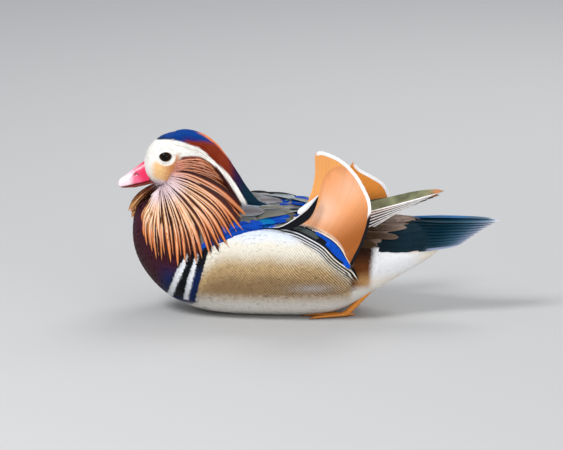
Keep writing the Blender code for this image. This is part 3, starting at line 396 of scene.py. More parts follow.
def rear_hue(x, y, z, hue):
    """Rufous behind the flank, then the white vent, the teal tail sides and the grey rump."""
    line = np.interp(x, [60, 81, 104, 114, 132, 150, 190], [68, 68.5, 67.5, 65.5, 68.4, 72, 86])
    rump = lines_at(RUMP_LINE, x)
    grey = mix(RUMP_DARK, RUMP_GREY, fade(x, 66, 98))
    side = mix(TAIL_TEAL, grey, fade(z - rump, -0.5, 1.5) * (1 - fade(x, 122, 132)))
    side = mix(side, TAIL_BLUE, fade(z, 84, 88) * fade(x, 118, 130))
    side = mix(side, RUFOUS_DARK, (1 - fade(x, 68, 84)) * (1 - fade(z, 72, 82)))
    side = mix(side, BAR_BLACK, 0.7 * np.exp(-(((z - line) / 1.2) ** 2)) * fade(x, 80, 84))
    vent = mix(VENT_WHITE, VENT_CREAM, np.clip(fade(x, 110, 134) * 0.9 + 0.6 * (1 - fade(z, 34, 46)), 0, 1))
    vent = mix(vent, SAIL_MARGIN, 0.6 * np.exp(-(((z - line + 2.2) / 1.4) ** 2)) * fade(x, 106, 114))
    rust = mix(RUFOUS_DARK, RUFOUS, 1 - fade(z, 50, 66))
    rust = mix(rust, RUFOUS_PALE, (1 - fade(z, 36, 50)) * fade(x, 60, 72))
    vent = mix(rust, vent, fade(x + 0.1 * (60 - z), 77, 83))
    vent = mix(vent, BELLY_WHITE, (1 - fade(z, 26, 36)) * (1 - fade(x, 74, 88)))
    rear = mix(vent, side, fade(z - line, -0.8, 0.8))
    return mix(hue, rear, fade(x, 58, 63) * np.where(z > lines_at(FLANK_EDGE, x) + 26, 0, 1))


def body_hue(points):
    """The markings of breast, bars, flank, belly, back and rear."""
    x, y, z = points[:, 0], np.abs(points[:, 1]), points[:, 2]
    edge = lines_at(FLANK_EDGE, x)
    below = edge - z
    deep = below + 12 * fade(x, 0, 40) + 7 * (1 - fade(x, -56, -30))
    hue = mix(FLANK_PALE, FLANK_CREAM, fade(deep, 2, 13))
    hue = mix(hue, FLANK_GOLD, fade(deep, 15, 33))
    hue = mix(hue, FLANK_BROWN, 0.8 * fade(deep, 32, 48))
    hue = mix(hue, FLANK_PALE, 0.4 * np.exp(-(((x - 26) / 20) ** 2) - ((z - 33) / 4) ** 2))
    hue = mix(hue, BELLY_WHITE, 1 - fade(z, 12, 30))
    back = (z > edge) & (y < 70) & ((z > 60) | (x > 62))
    hue = np.where(back[:, None], back_hue(x, y, z, edge), hue)
    hue = rear_hue(x, y, z, hue)
    first, second = -100.5 + (z - 34.7) * 0.4537, -86.9 + (z - 34.4) * 0.291
    maroon = mix(BREAST_MAROON, BREAST_PLUM, 0.5 * fade(z, 60, 90) + 0.3 * fade(y, 30, 50))
    maroon = mix(maroon, BREAST_BLUE, 0.85 * (1 - fade(z, 36, 56)) * fade(x, -122, -106))
    side = fade(z, 14, 22)
    breast = mix(maroon, BAR_BLACK, fade(x - first, -5.5, -3) * side)
    narrow = 2.9 - 1.5 * fade(z, 40, 66)
    breast = mix(breast, BREAST_BLUE, 0.8 * (1 - fade(z, 38, 56)) * fade(x - second, -4, 0) * (z > 16))
    breast = mix(breast, BAR_WHITE, (np.abs(x - first) < narrow) & (z > 16))
    breast = mix(breast, BAR_WHITE, (np.abs(x - second) < narrow * 0.85) & (z > 16))
    reach = np.where(z > 16, second + 9.5, -100 + 1.2 * z)
    hue = np.where((x < reach)[:, None] & (z < edge + 4 + 60 * (x < -80))[:, None], breast, hue)
    return mix(hue, BELLY_WHITE, (1 - fade(z, 6, 16)) * fade(x, -128, -108))


# Shapes shared with the solids

def spline(rows, t):
    """A smooth curve through the rows, at t in steps of one row."""
    rows = np.asarray(rows, float)
    t = min(max(t, 0.0), len(rows) - 1.0)
    i = min(int(t), len(rows) - 2)
    f = t - i
    p1, p2 = rows[i], rows[i + 1]
    p0 = rows[i - 1] if i else 2 * p1 - p2
    p3 = rows[i + 2] if i + 2 < len(rows) else 2 * p2 - p1
    return 0.5 * (2 * p1 + (p2 - p0) * f + (2 * p0 - 5 * p1 + 4 * p2 - p3) * f**2
                  + (3 * p1 - p0 - 3 * p2 + p3) * f**3)


def along(rows, share):
    """The smooth curve through the rows, at a share of its rows from 0 to 1."""
    return spline(rows, share * (len(rows) - 1))


def smooth_step(value):
    value = min(max(value, 0.0), 1.0)
    return value * value * (3 - 2 * value)


def unit(vector):
    return vector / np.linalg.norm(vector)


def row_at(rows, x):
    """The row number where the table's first column reaches x."""
    fine = np.linspace(0, len(rows) - 1, 400)
    return float(np.interp(x, [spline(rows, t)[0] for t in fine], fine))


def section(row, angle):
    """(y, z) on an egg-shaped section, angle from the top towards +Y."""
    _, top, bottom, half, share, above, below = row
    widest = bottom + share * (top - bottom)
    s, c = math.sin(angle), math.cos(angle)
    power = 2 / (above if c > 0 else below)
    depth = top - widest if c > 0 else widest - bottom
    y = half * math.copysign(abs(s) ** power, s)
    return y, widest + depth * math.copysign(abs(c) ** power, c)


def flank_swell(x, z):
    """How far the flank's feathers stand out over the wing's edge."""
    if not FLANK_EDGE[0, 0] < x < FLANK_EDGE[-1, 0] + FLANK_SOFT:
        return 0.0
    edge = float(np.interp(x, FLANK_EDGE[:, 0], FLANK_EDGE[:, 1]))
    ends = smooth_step((x - FLANK_EDGE[0, 0]) / 10) * smooth_step((FLANK_EDGE[-1, 0] + FLANK_SOFT - x) / 16)
    below = smooth_step((edge - z) / FLANK_SOFT)
    return FLANK_SWELL * ends * below * smooth_step((z - FLANK_LOW) / 26)


def torso_row(x):
    return spline(TORSO, row_at(TORSO, x))


def torso_point(row, angle):
    """A point on the torso, with the flank's swell and the flat that it rests on."""
    x = row[0]
    y, z = section(row, angle)
    swell = flank_swell(x, z)
    y += math.copysign(swell, y) if abs(y) > 1e-6 else 0.0
    z += 0.35 * swell
    return np.array([x, y, max(z, 0.0)])


def torso_spot(x, angle, side):
    """(point, outward normal) on one side of the torso."""
    step = 0.5
    here = torso_point(torso_row(x), angle)
    ahead = torso_point(torso_row(x + step), angle)
    lower = torso_point(torso_row(x), angle + 0.02)
    normal = unit(np.cross(lower - here, ahead - here))
    normal = -normal if normal[1] < 0 and normal[2] < 0 else normal
    flip = np.array([1, side, 1])
    return here * flip, normal * flip


def angle_at_height(x, z):
    """The section angle at which one side of the torso is at height z."""
    row = torso_row(x)
    angles = np.linspace(0.05, math.pi - 0.05, 200)
    heights = [section(row, a)[1] for a in angles]
    return float(np.interp(-z, -np.array(heights), angles))


def tube_faces(rings, sides):
    """Triangles of a closed tube: ring points first, then the two end points."""
    faces = []
    for i in range(rings - 1):
        for j in range(sides):
            a, b = i * sides + j, i * sides + (j + 1) % sides
            c, d = a + sides, b + sides
            faces += [(a, b, d), (a, d, c)]
    first, last = rings * sides, rings * sides + 1
    for j in range(sides):
        k = (j + 1) % sides
        faces.append((first, k, j))
        faces.append((last, (rings - 1) * sides + j, (rings - 1) * sides + k))
    return faces


def tube(rings):
    """A closed form through rings of points, each as long as the others."""
    rings = [np.array(r) for r in rings]
    points = np.concatenate([*rings, [rings[0].mean(0)], [rings[-1].mean(0)]])
    faces = tube_faces(len(rings), len(rings[0]))
    return facing_out(points, faces)


def facing_out(points, faces):
    """The form with its faces turned outwards."""
    corners = np.asarray(points)[np.array(faces)]
    volume = np.einsum("ij,ij->i", corners[:, 0], np.cross(corners[:, 1], corners[:, 2])).sum()
    return (points, faces) if volume > 0 else (points, [f[::-1] for f in faces])


def egg_form(table, rings, sides, start=None, end=None, point=None):
    """The rounded form that a table of egg-shaped sections gives, cut flat at the ends."""
    point = point or (lambda row, angle: np.array([row[0], *section(row, angle)]))
    first = 0.0 if start is None else row_at(table, start)
    last = len(table) - 1.0 if end is None else row_at(table, end)
    places = [first + (last - first) * i / (rings - 1) for i in range(rings)]
    angles = [2 * math.pi * j / sides for j in range(sides)]
    return tube([[point(spline(table, t), a) for a in angles] for t in places])


def ball(centre, radii, sides=14, rings=8):
    rows = []
    for i in range(1, rings):
        polar = math.pi * i / rings
        rows.append([
            np.array(centre) + np.array(radii) * (math.sin(polar) * math.cos(turn), math.cos(polar),
                                                  math.sin(polar) * math.sin(turn))
            for turn in (2 * math.pi * j / sides for j in range(sides))
        ])
    points, faces = tube(rows)
    points = np.array(points)
    points[-2] = np.array(centre) + np.array(radii) * (0, 1, 0)
    points[-1] = np.array(centre) - np.array(radii) * (0, 1, 0)
    return facing_out(points, faces)


def pipe(path, radii, sides=5):
    """A round tapered limb along a path."""
    path = np.array(path, float)
    tangents = np.gradient(path, axis=0)
    rings = []
    for p, t, r in zip(path, tangents, radii, strict=True):
        side = unit(np.cross(t, UP))
        top = unit(np.cross(side, t))
        ring = [p + r * (math.cos(a) * side + math.sin(a) * top)
                for a in (2 * math.pi * (j + 0.5) / sides for j in range(sides))]
        rings.append(ring)
    return tube(rings)


def turned(form):
    """A form of the head's own frame, with the head's turn to its left."""
    points = np.array(form[0]) - (HEAD_PIVOT, 0, 0)
    c, s = math.cos(HEAD_TURN), math.sin(HEAD_TURN)
    turn = np.array([(c, -s, 0), (s, c, 0), (0, 0, 1)])
    return points @ turn.T + (HEAD_PIVOT, 0, 0), form[1]


def turned_points(points):
    return turned((points, []))[0]


def turned_vectors(vectors):
    return turned_points(np.array(vectors) + (HEAD_PIVOT, 0, 0)) - (HEAD_PIVOT, 0, 0)


def mirrored(form, side):
    """The form of the +Y side, or its mirror image for the -Y side."""
    if side > 0:
        return form
    return np.array(form[0]) * (1, -1, 1), [f[::-1] for f in form[1]]


def surface(*forms):
    """A tree of the forms' surfaces, for finding where they lie."""
    points, faces = [], []
    for form_points, form_faces in forms:
        faces += [tuple(i + len(points) for i in f) for f in form_faces]
        points += [Vector(p) for p in form_points]
    return BVHTree.FromPolygons(points, faces)


def hit_from(tree, point, outward, reach=150.0):
    """Where a line from outside, through the point, first meets the surfaces, or None."""
    start = Vector(point) + Vector(outward) * reach
    place = tree.ray_cast(start, -Vector(outward), 2 * reach)[0]
    return None if place is None else np.array(place)


def clear_of(tree, point, lift):
    """The point, moved out until it stands clear of the surfaces by the lift."""
    for _ in range(3):
        place, normal, _, _ = tree.find_nearest(Vector(point))
        short = lift - (Vector(point) - place).dot(normal)
        if short > 0:
            point = np.array(point) + np.array(normal) * short
    return point


def settled(tree, path, lifts, fixed=1):
    """The path with its points, and the middles between them, clear of the surfaces."""
    path = [np.array(p) for p in path]
    for i in range(fixed, len(path)):
        path[i] = clear_of(tree, path[i], lifts[i])
    for i in range(fixed, len(path) - 1):
        middle = (path[i] + path[i + 1]) / 2
        moved = clear_of(tree, middle, (lifts[i] + lifts[i + 1]) / 2) - middle
        path[i], path[i + 1] = path[i] + moved * 0.9, path[i + 1] + moved * 0.9
    return np.array(path)


def sheet(top, bottom):
    """A closed form between two grids of points, one lying over the other."""
    top, bottom = np.array(top), np.array(bottom)
    steps, wide = top.shape[0] - 1, top.shape[1]
    count = top.shape[0] * wide
    faces = []
    for i in range(steps):
        for j in range(wide - 1):
            a, b = i * wide + j, i * wide + j + 1
            c, d = a + wide, b + wide
            faces += [(a, b, d), (a, d, c)]
            faces += [(a + count, d + count, b + count), (a + count, c + count, d + count)]
    rim = list(range(wide - 1)) + [i * wide + wide - 1 for i in range(steps)]
    rim += [steps * wide + j for j in range(wide - 1, 0, -1)] + [i * wide for i in range(steps, 0, -1)]
    for a, b in zip(rim, rim[1:] + rim[:1], strict=True):
        faces += [(a, a + count, b + count), (a, b + count, b)]
    return facing_out(np.concatenate([top.reshape(-1, 3), bottom.reshape(-1, 3)]), faces)


def grid_normals(grid):
    """Unit normals of a grid of points."""
    normals = np.cross(np.gradient(grid, axis=0), np.gradient(grid, axis=1))
    return normals / np.maximum(np.linalg.norm(normals, axis=2, keepdims=True), 1e-9)


def patch(front, rear, inner, outer, rise, side, steps=9, rows=4):
    """A pad that lies on the torso between two section angles, thickest where rise says."""
    top, bottom = [], []
    for i in range(steps + 1):
        u = i / steps
        x = front + (rear - front) * u
        spots = [(j / rows, *torso_spot(x, inner(u) + (outer(u) - inner(u)) * j / rows, side))
                 for j in range(rows + 1)]
        bottom.append([spot - normal * PAD_SUNK for _, spot, normal in spots])
        top.append([spot + normal * (GAP + rise(u, v)) for v, spot, normal in spots])
    return sheet(top, bottom)


def crest_point(share, side_share, sunk):
    """A place on the crest's rounded veil, side_share from -1 to 1 across it."""
    x, z = along(CREST_LINE, share)
    low_x, low_z, wide = along(BROW_LINE, share)
    turn = side_share * math.pi / 2
    drop = 1 - math.cos(turn)
    inward = 1 - sunk / 20
    return ((x + (low_x - x) * drop - sunk * 0.5 * (1 - drop)), wide * math.sin(turn) * inward,
            z + (low_z - z) * drop - sunk * 0.85 * (1 - drop))


def sail_point(u, v, name):
    """A place on the sail's broad web, u along the shaft and v from the shaft to its edge."""
    x, y, z = along(SAIL_SHAFT, u)
    barb = along(SAIL_EDGE[name], u) - (x, z)
    bow = SAIL_BOW * 4 * v * (1 - v) * (1 - u) ** 1.5
    hollow = SAIL_HOLLOW * math.sin(math.pi * v) * (1 - 0.5 * u)
    y += SAIL_LEAN[name] * np.linalg.norm(barb) * v - hollow
    return np.array([x + barb[0] * v + bow, y, z + barb[1] * v])


def feather_path(root, tip, sag, steps=4):
    """A straight quill from root to tip that bows by the sag in its middle."""
    root, tip, sag = np.array(root), np.array(tip), np.array(sag)
    return [root + (tip - root) * t + sag * 4 * t * (1 - t) for t in np.linspace(0, 1, steps + 1)]


def wing_pad(side):
    """The coverts of the folded wing, a pad between the scapulars and the flank."""
    def inner(u):
        x = WING_FRONT + (WING_REAR - WING_FRONT) * u
        return math.radians(38 - 18 * smooth_step((x - 2) / 30) + 8 * smooth_step((x - 40) / 18))

    def outer(u):
        x = WING_FRONT + (WING_REAR - WING_FRONT) * u
        edge = float(np.interp(x, FLANK_EDGE[:, 0], FLANK_EDGE[:, 1]))
        edge += 1.5 + 9 * smooth_step((x - 36) / 24)
        return max(angle_at_height(x, edge), inner(u) + 0.06)

    def rise(u, v):
        lengthwise = math.sin(math.pi * min(0.97, 0.1 + u * 0.87)) ** 0.5
        return 1.2 + 2.8 * lengthwise * math.sin(math.pi * v) ** 0.6

    return patch(WING_FRONT, WING_REAR, inner, outer, rise, side, 11, 3)


def scapular_pad(side):
    """The shoulder feathers, a long low mound on each side of the back."""
    def inner(u):
        return math.radians(8 + 5 * (2 * u - 1) ** 2 + 5 * smooth_step((u - 0.62) / 0.38))

    def outer(u):
        return math.radians(37 - 2 * u - 13 * smooth_step((u - 0.6) / 0.4))

    def rise(u, v):
        long = math.sin(math.pi * min(1, 0.12 + 0.86 * u)) ** 0.5
        return 0.8 + SCAPULAR_RISE * long * math.sin(math.pi * v) ** 0.7

    return patch(SCAPULAR_FRONT, SCAPULAR_REAR, inner, outer, rise, side)


def web_form(outline):
    """The skin between the toes, from its outline that starts at the heel of the foot."""
    low = [np.array([p[0], p[1], -1.0]) for p in outline]
    high = [np.array([p[0], p[1], WEB_THICK]) for p in outline]
    count = len(outline)
    fan = [(0, i, i + 1) for i in range(1, count - 1)]
    faces = fan + [(c + count, b + count, a + count) for a, b, c in fan]
    for a in range(count):
        b = (a + 1) % count
        faces += [(b, a, a + count), (b, a + count, b + count)]
    return facing_out(low + high, faces)


def leg_pieces(side):
    """The tarsus, toes and webs of one leg, before the sole is cut flat."""
    heel, ankle = np.array(LEG_HEEL), np.array(LEG_ANKLE)
    bent = heel + (ankle - heel) * 0.55 + (0, 0, -1.0)
    tarsus = [heel + (2, 0, 1.5), heel, bent, ankle, ankle + (-4, 0, -1)]
    pieces = [pipe(tarsus, [3.4, 3.2, TARSUS_RADIUS, 2.9, 2.2], 6)]
    base = ankle + (-1, 0, -1.2)
    ends = []
    for length, angle in TOES:
        turn = math.radians(angle)
        forward = np.array([-math.cos(turn), math.sin(turn), 0])
        radii = [TOE_RADIUS, 1.8, 1.4, 0.7]
        joints = [base + forward * length * s for s in (-0.04, 0.45, 0.84, 1.0)]
        joints = [(j[0], j[1], r - 0.5) for j, r in zip(joints, radii, strict=True)]
        pieces.append(pipe(joints, radii))
        ends.append(base + forward * length * 0.84)
    back = np.array([math.cos(0.5), -math.sin(0.5), 0])
    hind = [base - back, base + back * 5 + (0, 0, -0.6), base + back * 10 + (0, 0, -1.0)]
    pieces.append(pipe(hind, [1.5, 1.3, 0.7]))
    middle, outer, inner = ends
    hollows = [(middle + other) / 2 * 0.88 + base * 0.12 for other in (outer, inner)]
    pieces.append(web_form([base + (2, 0, 0), outer, hollows[0], middle, hollows[1], inner]))
    return [mirrored(p, side) for p in pieces]


def add_layers(mesh, hues, vanes, patches):
    """The markings as a colour attribute, and the two UV maps, from values at the points."""
    corners = np.empty(len(mesh.loops), np.int32)
    mesh.loops.foreach_get("vertex_index", corners)
    layer = mesh.color_attributes.new("Hue", "FLOAT_COLOR", "POINT")
    layer.data.foreach_set("color", np.column_stack([hues, np.ones(len(hues))]).astype(np.float32).ravel())
    for name, places in (("OFBake", patches), ("Vane", vanes)):
        if places is not None:
            uv = mesh.uv_layers.new(name=name)
            uv.data.foreach_set("uv", np.asarray(places)[corners].astype(np.float32).ravel())
    mesh.uv_layers.active = mesh.uv_layers[0]


def new_piece(name, points, triangles, material, slot):
    """A mesh object of points in millimetres and triangles, riding on the body."""
    mesh = bpy.data.meshes.new(name)
    points, triangles = np.asarray(points, float) * MM, np.asarray(triangles, np.int32)
    mesh.vertices.add(len(points))
    mesh.vertices.foreach_set("co", points.astype(np.float32).ravel())
    mesh.loops.add(3 * len(triangles))
    mesh.polygons.add(len(triangles))
    mesh.polygons.foreach_set("loop_start", np.arange(0, 3 * len(triangles), 3, dtype=np.int32))
    mesh.polygons.foreach_set("vertices", triangles.ravel())
    mesh.update()
    mesh.materials.append(material)
    mesh.shade_smooth()
    obj = bpy.data.objects.new(name, mesh)
    bpy.context.scene.collection.objects.link(obj)
    obj["slot"] = slot
    return obj


FLAT_RING = [(-1, -0.3), (0, 0.6), (1, -0.3), (0, -0.5)]
SHAFT_RING = [(-1, -0.35), (-0.28, 0.05), (0, 0.85), (0.28, 0.05), (1, -0.35), (0, -0.5)]
WEB_RING = [(-1, -0.4), (-0.5, 0.25), (0, 0.5), (0.5, 0.25), (1, -0.4), (0, -0.5)]
VANE_RING = [(-1, -0.35), (-0.86, 0.1), (-0.45, 0.35), (-0.06, 0.4), (0.0, 0.7), (0.06, 0.4), (0.45, 0.35),
             (0.86, 0.1), (1, -0.35), (0, -0.5)]


class Plumage:
    """One coat piece: feathers gathered in batches that share a form, then made one mesh."""

    def __init__(self, name, slot, material, unwrap):
        self.name, self.slot, self.material, self.unwrap = name, slot, material, unwrap
        self.points, self.faces, self.hues, self.vanes, self.patches = [], [], [], [], []
        self.count = 0

    def add(self, paths, across, halves, thick, hues, ring=FLAT_RING, shaft=None, edge=None, patch=0.003,
            tints=None):
        """Feathers along paths (count, stations, 3); the first and last stations are their ends.

        halves and thick are (stations,) or (count, stations); hues, shaft and edge are colours
        (count, stations, 3) of the web, of its middle and of its rims. tints gives the colours of
        the rings' points instead, as (count, stations - 2, ring, 3) or from the points' places.
        """
        paths, across = np.asarray(paths, float), np.asarray(across, float)
        count, stations = paths.shape[:2]
        if count == 0:
            return
        along_path = np.gradient(paths, axis=1)
        up = np.cross(along_path, across)
        up /= np.maximum(np.linalg.norm(up, axis=2, keepdims=True), 1e-9)
        side = np.cross(up, along_path)
        side /= np.maximum(np.linalg.norm(side, axis=2, keepdims=True), 1e-9)
        halves = np.broadcast_to(halves, (count, stations))[:, 1:-1, None, None]
        thick = np.broadcast_to(thick, (count, stations))[:, 1:-1, None, None]
        wide, high = np.array(ring)[:, 0], np.array(ring)[:, 1]
        rings = (paths[:, 1:-1, None] + side[:, 1:-1, None] * wide[:, None] * halves
                 + up[:, 1:-1, None] * high[:, None] * thick)
        middle, size = stations - 2, len(ring)
        points = np.concatenate([rings.reshape(count, -1, 3), paths[:, :1], paths[:, -1:]], 1)
        tint = np.repeat(np.broadcast_to(hues, (count, stations, 3))[:, 1:-1, None], size, 2).copy()
        for colour, chosen in ((shaft, np.abs(wide) < 0.1), (edge, np.abs(wide) > 0.9)):
            if colour is not None:
                chosen = chosen & (high > -0.45)
                colour = np.broadcast_to(colour, (count, stations, 3))[:, 1:-1]
                tint[:, :, chosen] = colour[:, :, None]
        if tints is not None:
            tint = np.broadcast_to(tints(rings) if callable(tints) else tints, tint.shape)
        ends = np.broadcast_to(hues, (count, stations, 3))
        tint = np.concatenate([tint.reshape(count, -1, 3), ends[:, :1], ends[:, -1:]], 1)
        share = np.linspace(0, 1, stations)[1:-1]
        vane = np.stack(np.broadcast_arrays((wide[None] + 1) / 2, share[:, None]), -1).reshape(-1, 2)
        vane = np.concatenate([vane, [(0.5, 0), (0.5, 1)]])
        lengths = np.linalg.norm(np.diff(paths, axis=1), axis=2).sum(1)
        places = np.clip(self.unwrap(paths[:, 0]), 0.01, 0.99)
        self.patches.append((places[:, None] + (vane - 0.5) * patch).reshape(-1, 2))
        shown = np.broadcast_to(vane, (count, len(vane), 2)).copy()
        shown[..., 1] *= lengths[:, None] / 10
        self.vanes.append(shown.reshape(-1, 2))
        self.points.append(points.reshape(-1, 3))
        self.hues.append(np.clip(tint, 0, 1).reshape(-1, 3))
        form = np.array(tube_faces(middle, size))
        form = form[:, ::-1] if self.turned_in(points[0], form) else form
        offsets = self.count + np.arange(count)[:, None, None] * points.shape[1]
        self.faces.append((form[None] + offsets).reshape(-1, 3))
        self.count += count * points.shape[1]

    def turned_in(self, points, faces):
        corners = points[faces] - points.mean(0)
        return np.einsum("ij,ij->i", corners[:, 0], np.cross(corners[:, 1], corners[:, 2])).sum() < 0

    def triangles(self):
        return sum(len(f) for f in self.faces)

    def piece(self):
        obj = new_piece(self.name, np.concatenate(self.points), np.concatenate(self.faces),
                        self.material, self.slot)
        obj.data.set_sharp_from_angle(angle=math.radians(62))
        add_layers(obj.data, np.concatenate(self.hues), np.concatenate(self.vanes),
                   np.concatenate(self.patches))
        return obj


def round_unwrap(points, axis_z, low, high):
    """The body's own unwrap: along it, and round it from the belly up each side."""
    x = (points[:, 0] - low) / (high - low)
    turn = np.arctan2(points[:, 1], points[:, 2] - axis_z) / (2 * math.pi) + 0.5
    return np.column_stack([0.01 + 0.98 * x, 0.01 + 0.98 * turn])


def body_unwrap(points):
    return round_unwrap(points, 55.0, -150, 200)


def head_unwrap(points):
    return round_unwrap(head_frame(points), 130.0, -160, -10)


def head_frame(points):
    """Points of the body's frame as they lie in the head's own frame, before its turn."""
    points = np.asarray(points) - (HEAD_PIVOT, 0, 0)
    c, s = math.cos(HEAD_TURN), math.sin(HEAD_TURN)
    return points @ np.array([(c, -s, 0), (s, c, 0), (0, 0, 1)]) + (HEAD_PIVOT, 0, 0)


# Skin

SKIN_VOXEL, SKIN_DEPTH = 1.7, 1.2


def core_forms():
    """The flesh under the coat: torso with the tail's base, neck, head, shoulders and wings."""
    neck = []
    for i in range(14):
        z, x, long, wide = along(NECK, i / 13)
        neck.append([(x + long * math.cos(a), wide * math.sin(a), z)
                     for a in (2 * math.pi * j / 40 for j in range(40))])
    forms = [egg_form(TORSO, 60, 56, point=torso_point), tube(neck), turned(egg_form(HEAD, 32, 40))]
    for side in SIDES.values():
        forms += [scapular_pad(side), wing_pad(side)]
    return forms


def skin_mesh(forms):
    """One closed surface round the forms, smoothed and let in by the coat's depth."""
    points, faces = [], []
    for form_points, form_faces in forms:
        faces += [tuple(i + len(points) for i in f) for f in form_faces]
        points += [tuple(np.asarray(p) * MM) for p in form_points]
    mesh = bpy.data.meshes.new("skin")
    mesh.from_pydata(points, [], faces)
    obj = bpy.data.objects.new("skin", mesh)
    bpy.context.scene.collection.objects.link(obj)
    join = obj.modifiers.new("join", "REMESH")
    join.mode, join.voxel_size, join.adaptivity = "VOXEL", SKIN_VOXEL * MM, 0.0
    soften = obj.modifiers.new("soften", "SMOOTH")
    soften.factor, soften.iterations = 0.6, 8
    thin = obj.modifiers.new("thin", "DISPLACE")
    thin.strength, thin.mid_level = -SKIN_DEPTH * MM, 0.0
    bpy.context.view_layer.update()
    graph = bpy.context.evaluated_depsgraph_get()
    made = bpy.data.meshes.new_from_object(obj.evaluated_get(graph))
    bpy.data.objects.remove(obj)
    work = bmesh.new()
    work.from_mesh(made)
    bmesh.ops.triangulate(work, faces=work.faces)
    work.to_mesh(made)
    work.free()
    points = np.empty(len(made.vertices) * 3)
    made.vertices.foreach_get("co", points)
    faces = np.empty(len(made.polygons) * 3, np.int32)
    made.polygons.foreach_get("vertices", faces)
    bpy.data.meshes.remove(made)
    points = points.reshape(-1, 3) / MM
    points[:, 2] = np.maximum(points[:, 2], 0.6)
    return with_sockets(points), faces.reshape(-1, 3)


def with_sockets(points):
    """The skin let in behind each eye, as deep as the lids need."""
    own = head_frame(points)
    away = np.hypot(own[:, 0] - EYE_PLACE[0], own[:, 2] - EYE_PLACE[2])
    deep = np.where(own[:, 2] > 100, fade(-away, -8.0, -5.6), 0.0)
    own[:, 1] = np.sign(own[:, 1]) * np.minimum(np.abs(own[:, 1]), np.abs(own[:, 1]) * (1 - deep) + 14.0 * deep)
    return turned_points(own)


def is_head(points):
    """True where the points belong to the head, ahead of and above the neck."""
    own = head_frame(points)
    return (own[:, 2] > 108 + 0.22 * np.maximum(own[:, 0] + 112, -12)) & (own[:, 0] < -56)


def neck_share(points):
    """1 on the neck between head and body, 0 elsewhere."""
    x, z = points[:, 0], points[:, 2]
    return ((z > 100) & (x < -50) & ~is_head(points)).astype(float)


def markings(points):
    """The colours of skin and coat, at points of the body's frame."""
    points = np.asarray(points, float)
    hue = body_hue(points)
    hue = mix(hue, mix(HACKLE_MAROON, HACKLE_CHESTNUT, fade(points[:, 2], 100, 120)), neck_share(points))
    return np.where(is_head(points)[:, None], head_hue(head_frame(points)), hue)


def bared(points):
    """1 where eyes, bill or feet need the skin clear of feathers."""
    own = head_frame(points)
    eye = np.array(EYE_PLACE)
    round_eye = np.hypot(own[:, 0] - eye[0] + 1.2, (own[:, 2] - eye[2]) * 1.1) < 7.8
    at_bill = own[:, 0] < -131.5 - 0.12 * (own[:, 2] - 130)
    return (round_eye & (own[:, 2] > 100)) | (at_bill & (own[:, 2] > 112) & (np.abs(own[:, 1]) < 8.5))


class Coat:
    """Finds roots on the skin and lays feathers along it."""

    def __init__(self, points, faces, seed):
        self.points, self.faces = points, faces
        self.tree = BVHTree.FromPolygons([Vector(p) for p in points], faces.tolist())
        self.draw = np.random.default_rng(seed)
        corners = points[faces]
        self.middles = corners.mean(1)
        cross = np.cross(corners[:, 1] - corners[:, 0], corners[:, 2] - corners[:, 0])
        self.areas = np.linalg.norm(cross, axis=1) / 2
        self.normals = cross / np.maximum(2 * self.areas[:, None], 1e-12)

    def roots(self, zone, spacing):
        """Points spread evenly, one to each small cell, over the skin where zone is true."""
        chosen = np.flatnonzero(zone(self.middles, self.normals))
        areas = self.areas[chosen]
        count = int(7 * areas.sum() / spacing**2)
        if count == 0:
            return np.empty((0, 3))
        picks = chosen[self.draw.choice(len(chosen), count, p=areas / areas.sum())]
        a, b = self.draw.random((2, count, 1))
        turned_over = (a + b) > 1
        a, b = np.where(turned_over, 1 - a, a), np.where(turned_over, 1 - b, b)
        corners = self.points[self.faces[picks]]
        places = corners[:, 0] + a * (corners[:, 1] - corners[:, 0]) + b * (corners[:, 2] - corners[:, 0])
        cells = np.floor(places / spacing).astype(np.int64) + 500
        keys = (cells[:, 0] * 1000 + cells[:, 1]) * 1000 + cells[:, 2]
        _, first = np.unique(keys, return_index=True)
        places = places[np.sort(first)]
        return places[~bared(places)]

    def lay(self, roots, lies, lengths, shares, lifts):
        """Paths over the skin from the roots, and the directions across them."""
        count, stations = len(roots), len(shares)
        paths, across = np.empty((count, stations, 3)), np.empty((count, stations, 3))
        find = self.tree.find_nearest
        for i in range(count):
            place, normal, _, _ = find(Vector(roots[i]))
            lie, length, before = Vector(lies[i]), float(lengths[i]), shares[0]
            for k in range(stations):
                lie = (lie - normal * lie.dot(normal)).normalized()
                if k:
                    step = place + lie * (length * (shares[k] - before))
                    place, near, _, _ = find(step)
                    before = shares[k]
                    normal = (normal * 0.4 + near * 0.6).normalized()
                paths[i, k] = place + normal * lifts[k]
                across[i, k] = lie.cross(normal)
        return paths, across


# Body feathers

BODY_SHARES, BODY_LIFTS = (0.0, 0.28, 0.62, 0.9, 1.04), (-0.9, 0.1, 0.75, 1.1, 1.0)
TRACTS = {  # spacing, length, half width, thickness, lift
    "face": (1.05, 3.8, 0.7, 0.24, 0.45),
    "crown": (1.3, 5.0, 0.75, 0.35, 0.7),
    "neck": (2.8, 8.0, 1.8, 0.45, 0.8),
    "breast": (2.1, 6.6, 1.8, 0.42, 0.95),
    "bars": (1.4, 5.6, 0.9, 0.34, 0.9),
    "flank": (2.2, 8.0, 1.9, 0.40, 0.9),
    "belly": (2.9, 8.5, 2.6, 0.45, 0.95),
    "mantle": (2.8, 10.0, 2.6, 0.40, 0.6),
    "rear": (2.3, 8.5, 2.0, 0.42, 0.95),
}


